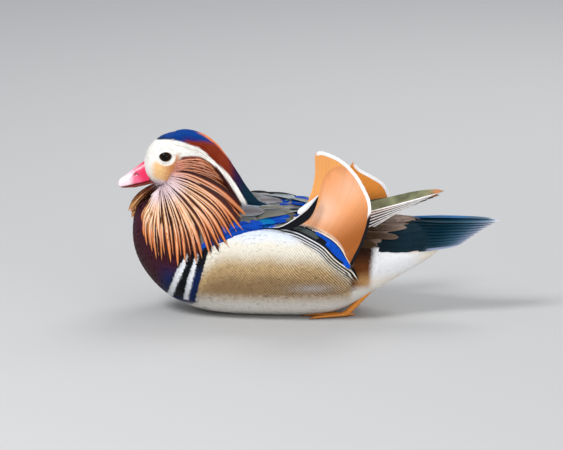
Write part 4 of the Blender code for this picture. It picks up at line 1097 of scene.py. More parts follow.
def zone_of(points, normals):
    """The tract that each point belongs to, by name."""
    x, y, z = points[:, 0], np.abs(points[:, 1]), points[:, 2]
    edge = lines_at(FLANK_EDGE, x)
    zone = np.full(len(points), "flank", dtype="<U8")
    zone[(z < 26) & (normals[:, 2] < -0.35)] = "belly"
    zone[(z > edge) & (z > 60)] = "mantle"
    zone[x > 58] = "rear"
    first = -100.5 + (z - 34.7) * 0.4537
    zone[(x < first - 4) | ((x < -84) & (z > 66))] = "breast"
    zone[(x >= first - 4) & (x < first + 24) & (z < 74) & (z > 12) & (x < -62)] = "bars"
    zone[neck_share(points) > 0] = "neck"
    head = is_head(points)
    own = head_frame(points)
    crown = own[:, 2] > lines_at(CROWN_EDGE, own[:, 0]) - 0.5
    zone[head] = "face"
    zone[head & crown] = "crown"
    return zone


def lie_at(points, zone):
    """Which way the feathers lie: back over the body, down the breast, away from the bill."""
    x, z = points[:, 0], points[:, 2]
    lies = np.column_stack([np.ones(len(points)), np.zeros(len(points)), np.full(len(points), -0.12)])
    front = 1 - fade(x, -128, -80)
    lies[:, 2] -= 0.9 * front
    lies[:, 2] += 0.22 * fade(x, 60, 90) * (1 - fade(z, 60, 75))
    if zone in ("face", "crown"):
        own = head_frame(points) - (-141, 0, 131)
        own[:, 2] -= 3 * fade(own[:, 0], 10, 40)
        lies = turned_vectors(own)
    if zone == "neck":
        lies = np.tile((0.45, 0, -1.0), (len(points), 1)) + 0.02 * points * (0, 1, 0)
    return lies / np.linalg.norm(lies, axis=1, keepdims=True)


def dress(coat, plumage, zone, inside=None):
    """Covers one tract with feathers that take the skin's markings."""
    spacing, length, half, thick, lift = TRACTS[zone]

    def chosen(points, normals):
        found = zone_of(points, normals) == zone
        return found & inside(points) if inside else found

    roots = coat.roots(chosen, spacing * (1.5 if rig.quick() else 1))
    draw = coat.draw
    if len(roots) == 0:
        return
    lies = lie_at(roots, zone) + draw.normal(0, 0.05, (len(roots), 3))
    lengths = length * draw.uniform(0.82, 1.15, len(roots))
    rump = (zone == "rear") & (roots[:, 2] > lines_at(RUMP_LINE, roots[:, 0]))
    lengths = lengths * np.where(rump, 1.7, 1.0)
    paths, across = coat.lay(roots, lies, lengths, BODY_SHARES, np.array(BODY_LIFTS) * lift)
    noise = draw.uniform(-0.13, 0.1, (len(roots), 1, 1, 1))

    def tints(rings):
        spots = 0.85 * rings + 0.15 * paths[:, 2, None, None]
        hue = markings(spots.reshape(-1, 3)).reshape(rings.shape)
        quiet = 1 - 0.8 * fade(hue.mean(3), 0.35, 0.75)[..., None]
        shade = np.array([0.84, 1.0, 1.04])[:, None, None] - 1
        return hue * (1 + noise * quiet) * (1 + shade * quiet)

    scale = draw.uniform(0.85, 1.12, (len(roots), 1))
    halves = half * np.array([0, 0.7, 1.0, 0.72, 0]) * scale
    plumage.add(paths, across, halves, np.full(5, thick), markings(paths[:, 2])[:, None], tints=tints)


def body_pieces(coat, looks):
    """The small feathers of head, neck, breast, flanks, belly, back and rear."""
    made = []

    def left(points):
        return points[:, 1] < 0

    def right(points):
        return points[:, 1] >= 0

    plan = [
        ("face_feathers", "head", looks["soft"], head_unwrap, [("face", None)]),
        ("crown_feathers", "head", looks["gloss"], head_unwrap, [("crown", None), ("neck", None)]),
        ("breast_feathers", "breast", looks["maroon"], body_unwrap, [("breast", None), ("bars", None)]),
        ("flank_feathers_left", "breast", looks["flank"], body_unwrap, [("flank", left)]),
        ("flank_feathers_right", "breast", looks["flank"], body_unwrap, [("flank", right)]),
        ("belly_feathers", "breast", looks["soft"], body_unwrap, [("belly", None)]),
        ("back_feathers", "scapular", looks["gloss"], body_unwrap, [("mantle", None)]),
        ("rear_feathers", "tail", looks["soft"], body_unwrap, [("rear", None)]),
    ]
    for name, slot, look, unwrap, zones in plan:
        plumage = Plumage(name, slot, look, unwrap)
        for zone, inside in zones:
            dress(coat, plumage, zone, inside)
        print("PLUMAGE", name, plumage.triangles())
        made.append(plumage.piece())
    return made


# Ruff and crest

# The fan of one side's hackles in the head's frame, from the nape round to the throat: x and z
# at the root, a third, two thirds and the tip. The far side's last ones flare ahead.
RUFF_FAN = [
    [(-107, 140.5), (-97, 143.4), (-85, 142), (-64.5, 128.5)],
    [(-108.5, 136), (-95, 138.4), (-76, 133), (-53.5, 115)],
    [(-110.5, 131.8), (-94, 132.5), (-71, 122), (-46.5, 101.5)],
    [(-112.6, 128.6), (-93.5, 126.8), (-68.5, 112.5), (-45.7, 88.9)],
    [(-114.1, 124.1), (-95.5, 116.5), (-75, 101.5), (-59.5, 77.5)],
    [(-116.2, 120.7), (-102, 107), (-88, 87.5), (-79, 59.5)],
    [(-118.6, 117.6), (-110.8, 101.5), (-105, 81), (-102.5, 52.5)],
]
RUFF_FRONT = {
    "left": [[(-121, 115.6), (-123.9, 97.7), (-124.3, 79.2), (-121.5, 51.5)],
             [(-122.4, 114.2), (-130.7, 98.1), (-136.1, 83.2), (-135.5, 65)],
             [(-123.6, 114.4), (-132.7, 104), (-137.4, 95.3), (-139.2, 89.2)]],
    "right": [[(-121, 115.6), (-127, 98), (-132, 80), (-134, 64)],
              [(-122.4, 114.8), (-132.7, 103.2), (-140.5, 93.8), (-147, 84.5)],
              [(-123.6, 116), (-134.7, 109.6), (-143, 102.2), (-150.5, 92.8)]],
}
# The table's last column marks the dark maroon under-layers: painted shade in the gaps between the top hackles.
RUFF_LAYERS = (  # hackles a side, shift along the fan, share of the length, lift, half width, dark
    (26, 0.5, 0.97, 0.4, 3.8, True), (26, 0.0, 0.78, 0.8, 3.2, True),
    (27, 0.5, 0.93, 1.2, 1.3, False), (27, 0.0, 1.0, 2.0, 2.0, False), (27, 0.5, 0.62, 1.9, 1.1, False),
    (27, 0.0, 0.82, 2.8, 1.7, False), (27, 0.25, 0.6, 2.6, 0.8, True), (27, 0.75, 0.56, 2.6, 0.8, True),
    (27, 0.0, 0.64, 3.5, 1.4, False), (27, 0.5, 0.42, 3.0, 0.8, False), (27, 0.25, 0.34, 3.5, 0.6, True),
    (27, 0.0, 0.46, 4.2, 1.1, False), (27, 0.75, 0.3, 3.7, 0.6, True), (27, 0.0, 0.28, 4.7, 0.85, False),
    (27, 0.5, 0.22, 4.4, 0.6, False),
)
HACKLE_STATIONS = 12
HACKLE_RING = [(-1, -0.45), (-0.5, 0.1), (0, 0.85), (0.5, 0.1), (1, -0.45), (0, -0.4)]


def taut(depths):
    """The depths raised where they sag, so that a hackle spans the hollows under it."""
    spanned = depths.copy()
    for i in range(len(depths)):
        for j in range(i + 2, len(depths)):
            line = np.linspace(depths[i], depths[j], j - i + 1)[1:-1]
            spanned[i + 1:j] = np.maximum(spanned[i + 1:j], line)
    return spanned


def hackle_path(fan, length, name, tree, lift, draw):
    """A hackle fans out from the cheek and lies, raised, over the neck and breast."""
    side = SIDES[name]
    keys = np.array(RUFF_FAN + RUFF_FRONT[name], float).reshape(-1, 8)
    way = along(keys, fan).reshape(4, 2)
    shares = np.linspace(0, length, HACKLE_STATIONS)
    flat = np.array([spline(way, 3 * s) for s in shares])
    out = turned_vectors([(0, side, 0)])[0]
    base = turned_points([(x, 0, z) for x, z in flat])
    depths = []
    for point in base:
        skin = hit_from(tree, point, out)
        depths.append(depths[-1] - 0.6 if skin is None and depths else 12.0 if skin is None
                      else (skin - point) @ out)
    rise = 0.5 + lift * np.minimum(1, 3.5 * shares) + 1.6 * np.sin(np.pi * np.minimum(shares, 1))
    depths = taut(np.array(depths)) + rise
    depths[0] -= 2.0
    path = base + np.outer(depths, out)
    across = np.cross(out, np.gradient(path, axis=0))
    across /= np.linalg.norm(across, axis=1, keepdims=True)
    sway = draw.normal(0, 0.8) * np.sin(shares * 5 + draw.uniform(0, 3)) * np.minimum(1, 2 * shares)
    return path + across * sway[:, None], across


def hackle_tints(fan, length, dark, draw):
    """Pale lilac roots and cream shafts, gold to orange webs, chestnut and salmon up the nape, dark rims and dark
    under-layers as painted shade between the hackles, and an underside brightened as painted light.
    """
    reach = np.linspace(0, length, HACKLE_STATIONS)[1:-1]
    upper = float(1 - fade(fan, 0.2, 0.5))
    root = mix(HACKLE_LILAC, HACKLE_SALMON, 0.9 * upper)
    web = mix(root, mix(HACKLE_GOLD, HACKLE_CHESTNUT, upper), fade(reach, 0.12, 0.4))
    web = mix(web, mix(HACKLE_ORANGE, HACKLE_CHESTNUT, 0.7 * upper), fade(reach, 0.45, 0.9))
    shaft = mix(mix(HACKLE_LILAC, HACKLE_CREAM, fade(reach, 0.1, 0.3)), HACKLE_SALMON, 0.65 * upper)
    shaft = mix(shaft, mix(HACKLE_GOLD, web, 0.4), fade(reach, 0.5, 0.95))
    # Dark rims, from the root's colour at 0.55 to maroon: painted shade in the gaps between the hackles.
    edge = mix(root * 0.55, HACKLE_MAROON, fade(reach, 0.03, 0.2))
    edge = mix(edge, mix(HACKLE_CHESTNUT, HACKLE_MAROON, 0.5 * upper), 0.6 * fade(reach, 0.3, 0.9))
    # Under-layers are dark all over, from the root's colour at 0.5 to maroon, their rims at 0.8: painted shade in the
    # gaps between the top hackles.
    if dark:
        web = shaft = mix(root * 0.5, HACKLE_MAROON, fade(reach, 0.02, 0.16))
        edge = web * 0.8
    wide = np.abs(np.array(HACKLE_RING)[:, 0])
    tints = [shaft if w < 0.35 else web if w < 0.75 else edge for w in wide]
    # The underside goes from chestnut to a gold brightened by 1.3: painted light on faces turned from the lamps, such
    # as the far side's flare.
    tints[-1] = mix(HACKLE_CHESTNUT, HACKLE_GOLD * 1.3, fade(reach, 0.1, 0.7))  # the underside
    return np.stack(tints, 1)[None] * draw.uniform(0.92, 1.26)


def ruff_piece(name, tree, look):
    """The cheek's fan of hackles, from the nape round to the throat, layer over layer."""
    draw = np.random.default_rng(21 + SIDES[name])
    ridges = draw.uniform(-0.2, 0.2, 30)
    plumage = Plumage(f"ruff_{name}", "head", look, head_unwrap)
    shares = np.linspace(0, 1, HACKLE_STATIONS)
    outline = np.interp(shares, [0, 0.05, 0.35, 0.7, 0.88, 1], [0, 0.36, 0.62, 1, 0.72, 0])
    for count, shift, length, lift, half, dark in RUFF_LAYERS:
        for i in range(count):
            fan = np.clip((i + shift + ridges[i] + draw.uniform(-0.06, 0.06)) / count, 0, 1)
            reach = length * draw.uniform(0.94, 1.03)
            if dark and not 0.12 < fan < 0.8:
                continue
            path, across = hackle_path(fan, reach, name, tree, lift, draw)
            tints = hackle_tints(fan, length, dark, draw)
            width = half * draw.uniform(0.85, 1.15)
            plumage.add([path], across[None], outline * width, outline * (0.6 if dark else 1.5),
                        tints[:, [0, *range(tints.shape[1]), -1], 2], HACKLE_RING, patch=0.012, tints=tints)
    print("PLUMAGE", plumage.name, plumage.triangles())
    return plumage.piece()


CREST_LAYERS = (  # strands, share of the length, root's depth, half width
    (15, 1.0, 2.6, 3.2), (44, 1.0, 1.6, 1.0), (46, 0.93, 1.0, 0.95), (46, 0.84, 0.7, 0.9),
    (44, 0.72, 0.4, 0.85), (42, 0.6, 0.1, 0.8), (40, 0.46, 0.0, 0.75), (36, 0.34, 0.0, 0.7),
)
CREST_STATIONS, CREST_TURN = 12, 1.1


def crest_strand(side_share, length, deep, tree, draw):
    """One long feather of the crest: its path in the body's frame and in the head's."""
    start = max(-0.02, length - 0.62)
    shares = np.linspace(start, length, CREST_STATIONS)
    grow = (shares - start) / (length - start)
    sunk = deep + 2.2 * (1 - fade(grow, 0, 0.3))
    wave = side_share + draw.normal(0, 0.012) * np.sin(grow * 3)
    shares_x = np.interp(shares, np.linspace(0, 1, len(BROW_LINE)), BROW_LINE[:, 0])
    brow = 1 - fade(shares_x, -84, -66)
    sunk = sunk + 2.4 * fade(abs(side_share), 0.7, 1.0) * brow
    own = np.array([crest_point(max(s, 0) * (1 - 0.1 * side_share**2), w, d)
                    for s, w, d in zip(shares, wave, sunk, strict=True)])
    path = eased(own, [max(0, (s - 0.35) / 0.6) for s in shares])
    loose = next((i for i, p in enumerate(path) if p[0] > -68), CREST_STATIONS - 1)
    lifts = 0.4 + 2.2 * (1 - deep / 3) * (1 - fade(abs(side_share), 0.4, 0.9) * brow) + 3.2 * fade(shares, 0.86, 1)
    return settled(tree, path, lifts, max(1, loose)), own


def eased(points, shares):
    """Points of the head's frame whose turn fades along the crest, which hangs straight."""
    out = []
    for (x, y, z), share in zip(points, shares, strict=True):
        turn = HEAD_TURN * (1 - CREST_TURN * smooth_step(share))
        c, s = math.cos(turn), math.sin(turn)
        out.append((HEAD_PIVOT + (x - HEAD_PIVOT) * c - y * s, (x - HEAD_PIVOT) * s + y * c, z))
    return np.array(out)


def crest_piece(tree, look):
    """The crown's long feathers that hang down the nape to the back, with the white brow's."""
    draw = np.random.default_rng(31)
    plumage = Plumage("crest", "head", look, head_unwrap)
    outline = np.array([0, 0.7, 0.9, 1, 1, 1, 1, 0.95, 0.85, 0.7, 0.45, 0])
    for count, length, deep, half in CREST_LAYERS:
        for i in range(count):
            side_share = np.clip((2 * (i + 0.5 + draw.uniform(-0.3, 0.3)) / count - 1) * 1.02, -1.02, 1.02)
            path, own = crest_strand(side_share, length * draw.uniform(0.96, 1.01), deep, tree, draw)
            hue = head_hue(own) * draw.uniform(0.82, 1.15)
            turn = side_share * math.pi / 2
            across = turned_vectors([(0, math.cos(turn), -math.sin(turn))])[0]
            plumage.add([path], np.tile(across, (1, CREST_STATIONS, 1)), outline * half,
                        np.full(CREST_STATIONS, 0.8), hue[None], FLAT_RING, None, None, 0.012)
    print("PLUMAGE", plumage.name, plumage.triangles())
    return plumage.piece()


# Wings

SCAPULAR_ROWS = (  # section angle in degrees of a row of shoulder feathers, feathers in it, length
    (31, 10, 28), (24, 9, 30), (17, 8, 30), (10, 8, 28),
)
# The shoulder's large feathers: root, tip, half width, web, rim and lift. Their places are x and z
# on a plane 60 mm out, from where the slant leads in to the skin.
SLANT = np.array([-0.1052, 1.0, -0.2229])
SHOULDER_FEATHERS = (
    ((-8, 107.5), (18, 110.5), 3.2, WING_BLUE, WING_NAVY, 1.1),
    ((-6, 104), (18, 103), 4.2, WING_OLIVE, WING_SILVER, 1.2),
    ((-10, 99), (14, 98), 4.4, WING_OLIVE * 0.6, WING_OLIVE, 1.25),
    ((-21, 95), (9, 97.6), 4.2, WING_BLUE, WING_NAVY, 1.35),
    ((-30, 105.5), (3, 109.5), 3.4, WING_SILVER * 0.8, WING_SILVER, 1.45),
    ((-34, 100), (9, 103.5), 5.2, WING_GREY * 0.85, WING_OLIVE, 1.5),
    ((-30, 98), (-7, 90.6), 3.8, WING_TEAL, WING_BLUE, 1.5),
    ((-46, 102.5), (-17, 101.5), 4.8, WING_MAUVE * 0.5, WING_SILVER * 0.6, 1.65),
    ((-46, 98.5), (-23.5, 92.6), 5.4, WING_GREY * 0.6, WING_SILVER * 0.6, 1.85),
)
INNER_FEATHERS = (  # as those, but x and y on the back
    ((-40, 19), (-10, 22), 5.4, WING_MAUVE * 0.8, WING_SILVER, 1.2),
    ((-16, 24), (14, 30), 5.0, WING_STEEL, WING_SILVER, 1.3),
    ((-30, 27), (4, 31.5), 5.0, WING_GREY * 0.8, WING_SILVER, 1.4),
    ((-10, 31), (18, 36), 3.6, WING_NAVY, WING_BLUE, 1.5),
    ((-2, 35), (16, 38), 1.6, CHALK_WHITE, CHALK_WHITE, 1.7),
)


def behind(tree, place, side):
    """Where the slant from a place on the plane beside the model meets the surface."""
    way = SLANT * (1, -side, 1)
    x, z = place
    found = hit_from(tree, np.array([x, 60.0 * side, z]), -way / np.linalg.norm(way))
    if found is None or found[1] * side < 18:  # past the ridge: keep to this side of the back
        found = hit_from(tree, np.array([x, side * 24.0, 70.0]), UP)
    return np.array([x, side * 40.0, z - 4]) if found is None else found


def laid_feathers(coat, plumage, roots, tips, half, webs, rims, lift, aside=False):
    """Broad feathers from roots towards tips over the skin, their roots darkened as painted shade, with fine rims."""
    roots, tips = np.asarray(roots, float), np.asarray(tips, float)
    count, shares = len(roots), np.linspace(0, 1, 10)
    lifts = lift * np.array([-1.0, 0.4, 1.1, 1.6, 1.9, 2.05, 2.15, 2.15, 2.0, 1.7])
    paths, across = coat.lay(roots, tips - roots, np.linalg.norm(tips - roots, axis=1), shares, lifts)
    if aside is not False:  # the half width is measured across the slant, so lying feathers are wider
        turned_off = across[0, 5] @ (aside / np.linalg.norm(aside))
        half = half / max(0.45, math.sqrt(max(0.0, 1 - turned_off**2)))
    outline = half * np.array([0, 0.66, 0.86, 0.97, 1, 1, 0.96, 0.84, 0.58, 0])
    wide = np.abs(np.array(VANE_RING)[:, 0])
    # The tone runs from 0.75 at the root to 1.05 at the tip: painted shade where each feather lies under the one before
    # it.
    tone = np.linspace(0.75, 1.05, 8)[:, None, None]
    webs, rims = np.asarray(webs)[:, None, None], np.asarray(rims)[:, None, None]
    tints = np.where((wide > 0.8)[:, None], rims, webs * np.where(wide < 0.03, 0.8, 1.0)[:, None]) * tone
    plumage.add(paths, across, outline, np.full(10, 0.34), np.broadcast_to(rims[:, 0], (count, 10, 3)),
                VANE_RING, patch=0.012, tints=tints)


def wing_row(coat, side, x_from, x_to, count, height, length, half, hues, plumage, lift=1.0, rise=0.0):
    """A row of broad feathers on one side, overlapping like tiles, rooted at a height."""
    draw = coat.draw
    x = np.linspace(x_from, x_to, count) + draw.uniform(-0.6, 0.6, count)
    angle = [angle_at_height(a, b) for a, b in zip(x, height(x), strict=True)]
    roots = np.array([torso_spot(a, b, side)[0] for a, b in zip(x, angle, strict=True)])
    lies = np.column_stack([np.ones(count), np.zeros(count), rise * (height(x + 6) - height(x)) / 6])
    lies += draw.normal(0, 0.015, (count, 3))
    lies *= (length * draw.uniform(0.95, 1.05, count) / np.linalg.norm(lies, axis=1))[:, None]
    web, rim = hues(x, draw)
    laid_feathers(coat, plumage, roots, roots + lies, half, web, rim, lift)


def covert_hue(x, draw):
    web = WING_BLUE * draw.uniform(0.88, 1.1, (len(x), 1))
    return web, mix(web, WING_NAVY, np.full(len(x), 0.7))


def shoulder_hue(x, draw):
    web = mix(WING_GREY, WING_MAUVE, draw.random(len(x))) * draw.uniform(0.85, 1.05, (len(x), 1))
    web = mix(web, WING_STEEL, 0.6 * (draw.random(len(x)) < 0.3))
    return web, mix(web, WING_SILVER, np.full(len(x), 0.3))


def wing_piece(coat, name, look):
    """Shoulder feathers and wing coverts of one side."""
    side = SIDES[name]
    flip = np.array([1, -1, 1])
    plumage = Plumage(f"wing_coverts_{name}", "wing", look, body_unwrap)
    for over, count, last in ((9.5, 8, -24), (5.5, 9, -16)):
        wing_row(coat, side, -72, last, count, lambda x, over=over: lines_at(FLANK_EDGE, x) + over,
                 26, 4.6, covert_hue, plumage, 0.8 + 0.02 * over, 0.6)
    for degrees, count, length in SCAPULAR_ROWS[::-1]:
        turn = math.radians(degrees)

        def height(x, turn=turn):
            return np.array([section(torso_row(a), turn)[1] for a in x])

        wing_row(coat, side, -66, 10, count, height, length, 6.6, shoulder_hue, plumage, 0.9)
    for root, tip, half, web, rim, lift in INNER_FEATHERS:
        root, tip = (hit_from(coat.tree, np.array([x, side * y, 70.0]), UP) for x, y in (root, tip))
        laid_feathers(coat, plumage, [root], [tip], half, [web], [mix(web, rim, 0.5)], lift)
    for root, tip, half, web, rim, lift in SHOULDER_FEATHERS:
        laid_feathers(coat, plumage, [behind(coat.tree, root, side)], [behind(coat.tree, tip, side)], half, [web],
                      [mix(web, rim, 0.5)], lift + 0.3, SLANT * (1, -side, 1))
    laid_feathers(coat, plumage, [behind(coat.tree, (0, 89.5), side)], [behind(coat.tree, (33, 79.5), side)],
                  4.9, [WING_SLATE], [WING_SLATE * 0.8], 1.3)
    print("PLUMAGE", plumage.name, plumage.triangles())
    return plumage.piece()


# The feathers that rise over each sail's base: path, half widths along it and web.
SAIL_COVERTS = (
    ([(12.5, 52.2, 101), (15.5, 52.4, 103.5), (20.8, 52.8, 108), (26, 53.2, 112.8), (31.8, 53.6, 119)],
     (1.0, 2.7, 2.5, 1.5, 0.3), SAIL_WHITE),
    ([(-24, 52, 86.5), (-10, 53.5, 87), (-2, 54.5, 87.6), (8, 54.8, 90.8), (19, 54.9, 98.2), (24.4, 54.9, 104),
      (28.4, 54.9, 111), (31.9, 54.9, 118.4)], (0.5, 0.7, 1.3, 3.2, 3.9, 3.0, 1.8, 0.3), BAR_BLACK),
    ([(-10, 55.2, 88.2), (-3, 55.6, 89.4), (4.7, 55.9, 93.4), (11, 56.0, 97.6), (17.5, 56.0, 102.4)],
     (0.2, 0.35, 0.45, 0.45, 0.3), CHALK_WHITE),
)


def plume_piece(name, look):
    """The black feathers with a white front edge that rise over the sail's base."""
    flip = np.array([1, SIDES[name], 1])
    plumage = Plumage(f"sail_coverts_{name}", "wing", look, body_unwrap)
    for rows, halves, web in SAIL_COVERTS:
        shares = np.linspace(0, len(rows) - 1, 18)
        path = np.array([spline(rows, t) for t in shares]) * flip
        if name == "right":  # this side's sail and the feathers before it lie lower
            path[:, 2] = 86 + 0.5 * (path[:, 2] - 86)
        outline = np.interp(shares, range(len(halves)), halves)
        across = np.array([unit(np.cross(ACROSS, t)) for t in np.gradient(path, axis=0)])
        plumage.add([path], [across], outline, np.full(18, 0.45), web, VANE_RING, patch=0.02)
    return plumage.piece()


PRIMARY_EDGES = (  # lower edges on the plane 60 mm out: z where x is 73.1, then x and z at the tip
    (105.0, 148.3, 127.3), (102.4, 146.4, 126.5), (99.5, 142.7, 124.8), (96.5, 136.2, 121.8),
    (93.5, 127.9, 117.8), (90.4, 116.7, 112.3), (87.6, 105.6, 106.3),
)
PRIMARY_RING = [(-1, -0.1), (-0.4, 0.3), (0.1, 0.5), (0.5, 0.4), (0.74, 0.3), (0.77, 0.28), (0.95, 0.1),
                (1, -0.1), (0.77, -0.3), (0.74, -0.3), (0, -0.5)]


def primary_piece(name, look):
    """The folded flight feathers, olive over brown and white stripes, each under the last."""
    side = SIDES[name]
    plumage = Plumage(f"primaries_{name}", "wing", look, body_unwrap)
    draw = np.random.default_rng(51)
    share = np.linspace(0, 1, 18)
    wide = np.array(PRIMARY_RING)[:, 0]
    webs = (PRIMARY_OLIVE, PRIMARY_RUST * 0.7, PRIMARY_BROWN, PRIMARY_BROWN * 0.6, BAR_BLACK, BAR_BLACK, BAR_BLACK)
    for k, ((low_z, tip_x, tip_z), web) in enumerate(zip(PRIMARY_EDGES, webs, strict=True)):
        x = np.linspace(50, tip_x, 18)
        z = low_z + (tip_z - low_z) * (x - 73.1) / (tip_x - 73.1) - 5.2 * share * (1 - share)
        inward = 20 + 27 * (x - 50) / 98 + 0.7 * k
        edge = np.column_stack([x, np.full(18, -60.0), z]) + np.outer(inward, SLANT)
        run = np.gradient(edge, axis=0)
        low = np.cross(run, (0.1, -0.85, 0.53))
        low *= np.where(low[:, 2:] < 0, 1, -1) / np.linalg.norm(low, axis=1, keepdims=True)
        half = np.interp(share, [0, 0.3, 0.5, 0.7, 0.85, 0.95, 1], [3.6, 5, 4.9, 4.5, 3.4, 1.9, 0.3])
        path = (edge - low * half[:, None]) * (1, -side, 1) + ((-6, 0, -9) if name == "right" else 0)
        tints = np.where((wide > 0.75)[:, None], PRIMARY_PALE, web) * np.ones((16, 1, 1))
        if k == 0:
            tints *= np.where(wide > 0.75, 1, draw.uniform(0.55, 1.45, (16, len(wide))))[..., None]
            tints = mix(tints, PRIMARY_RUST, 0.9 * fade(share[1:-1], 0.86, 0.95)[:, None] * np.ones(len(wide)))
        plumage.add([path], [low * (1, -side, 1)], half, np.full(18, 0.5), web, PRIMARY_RING, patch=0.03,
                    tints=tints)
    return plumage.piece()


# Sails

BARBS, RIM_WHITE, RIM_BLACK = 150, 4.2, 3.8


def sail_arc(x, z):
    """1 on the arc where the near sail's peach web meets its orange margin, more outside."""
    return (np.abs((x - 58) / 25.5) ** 2.6 + np.abs((z - 112) / 35) ** 2.6) ** (1 / 2.6)


def barb_stations(u, name, reach):
    """Places along a barb, closer together where its colours change, and its length squared to the rim."""
    fine = np.linspace(0, reach, 90)
    places = np.array([sail_point(u, w, name) for w in fine])
    rim = sail_point(min(u + 0.01, 0.99), 1, name) - sail_point(max(u - 0.01, 0), 1, name)
    barb = unit(places[-1] - places[-12])
    squared = max(0.3, np.linalg.norm(np.cross(barb, unit(rim)))) if 0.02 < u < 0.97 else 1.0
    length = np.linalg.norm(places[-1] - places[0]) * squared
    marks = [1 - d / length for d in (RIM_WHITE + 0.15, RIM_WHITE - 0.15, RIM_BLACK + 0.15, RIM_BLACK - 0.15, 1.2)]
    arc = sail_arc(places[:, 0], places[:, 2]) * np.where(places[:, 2] > 104, 1, 0)
    crossing = np.flatnonzero((arc[1:] >= 1) & (arc[:-1] < 1))
    middle = fine[crossing[-1]] if len(crossing) else 0.5
    marks += [middle - 0.012, middle + 0.012]
    even = [m * reach for m in (0.0, 0.06, 0.2, 0.34, 0.48, 0.62, 0.76, 1.0)]
    return np.array(sorted(min(max(m, 0), reach) for m in (*even, *marks))), length


def sail_hue(u, v, name, x, z, length):
    """Salmon web with a painted peach highlight, darker low and front, orange margin behind an arc with painted shadow
    along its inside, white rim and black heel.
    """
    # Two soft spots of peach on the salmon web: a painted highlight.
    web = mix(SAIL_SALMON, SAIL_PEACH, np.clip(np.exp(-(((x - 34) / 16) ** 2) - ((z - 104) / 15) ** 2)
                                               + 0.6 * np.exp(-(((x - 60) / 14) ** 2) - ((z - 126) / 14) ** 2), 0, 1))
    web = mix(web, SAIL_ORANGE, fade((x - 40) * 0.5 + (105 - z) * 0.8, 2, 34))
    if name == "left":
        arc = sail_arc(x, z)
        outside = fade(arc, 0.995, 1.005) * fade(z, 104, 110)
        # A faint darker band just inside the arc: painted shadow along the line where the margin meets the web.
        web = mix(web, SAIL_ORANGE, 0.25 * np.exp(-(((arc - 0.96) / 0.05) ** 2)) * fade(z, 104, 118))
        web = mix(web, SAIL_MARGIN, outside)
    else:
        # The far sail is gold, going to umber low down; the umber is a painted shadow.
        web = mix(SAIL_GOLD, SAIL_UMBER, 1 - fade(z, 88, 106))
    rim = (1 - v) * length
    turn = (0.60, 0.64) if name == "left" else (0.66, 0.7)
    white = (rim < RIM_WHITE) * (1 - fade(u, *turn)) * fade(u, 0.0, 0.05)
    black = (rim < RIM_BLACK) * fade(u, *turn)
    web = mix(web, SAIL_WHITE, white)
    web = mix(web, BAR_BLACK, black)
    return mix(web, HACKLE_CREAM, (1 - fade(v * length, 0.4, 0.9)) * (1 - fade(u, 0.7, 0.82)))


def sail_piece(name, look, below):
    """The upright sail feather, barb by barb from its shaft, with the blue web under the shaft."""
    side = SIDES[name]
    draw = np.random.default_rng(41 + side)
    plumage = Plumage(f"sail_feather_{name}", "sail", look, sail_unwrap)
    flip = np.array([1, side, 1])
    for i in range(BARBS):
        u = (i + 0.5) / BARBS * 0.985
        reach = 1 - draw.uniform(0, 0.012) - (draw.uniform(0, 0.07) if u < 0.045 else 0)
        v, length = barb_stations(u, name, reach)
        path = np.array([sail_point(u, w, name) for w in v])
        ahead = np.array([sail_point(min(u + 0.004, 0.99), w, name) for w in v])
        run = ahead - path
        gap = np.linalg.norm(run, axis=1) / 0.004 * 0.985 / BARBS
        hue = sail_hue(u, v, name, path[:, 0], path[:, 2], length) * draw.uniform(0.94, 1.05)
        half = np.maximum(gap * 0.62, 0.35)
        half[-1] = 0
        plumage.add([path * flip], [run * flip], half, np.full(len(v), 0.62), hue[None],
                    FLAT_RING, patch=0.006)
    for i in range(70):
        u = (i + 0.5) / 70 * 0.97
        blue = 13.5 * math.sin(math.pi * (0.1 + 0.89 * u)) ** 0.75 * draw.uniform(0.94, 1.02)
        run = sail_point(u + 0.01, 0, name) - sail_point(max(u - 0.02, 0), 0, name)
        down = unit(np.cross(run, ACROSS))
        down = down if down[2] < 0 else -down
        shaft = sail_point(u, 0, name)
        share = np.linspace(0, 1, 6)
        path = shaft + np.outer(share, down * blue + ACROSS * 1.2) + np.outer(share, run * 2.0)
        path = np.array([clear_of(below, p * flip, 0.8) for p in path]) * flip
        hue = mix(np.tile(WING_BLUE, (6, 1)), BAR_BLACK, np.full(6, 0.85 * (1 - fade(u, 0.1, 0.16))))
        hue = mix(hue, BAR_BLACK, 0.7 * (1 - fade(share, 0.0, 0.15)) + 0.5 * fade(share, 0.85, 1.0))
        half = np.full(6, np.linalg.norm(run) / 0.03 * 0.97 / 70 * 0.75)
        plumage.add([path * flip], [np.tile(run, (6, 1)) * flip], half, np.full(6, 0.5),
                    (hue * draw.uniform(0.85, 1.1))[None], FLAT_RING, patch=0.006)
    shaft = np.array([sail_point(u, 0, name) for u in np.linspace(0, 0.985, 30)])
    radius = np.linspace(1.0, 0.35, 30)
    plumage.add([shaft * flip], np.tile(UP, (1, 30, 1)), radius, radius * 1.3,
                np.tile(HACKLE_CREAM, (1, 30, 1)), WEB_RING, patch=0.02)
    print("PLUMAGE", plumage.name, plumage.triangles())
    return plumage.piece()


def sail_unwrap(points):
    return np.column_stack([points[:, 0] / 100 * 0.9 + 0.05, points[:, 2] / 170])


# Tail

TAIL_QUILLS = 10


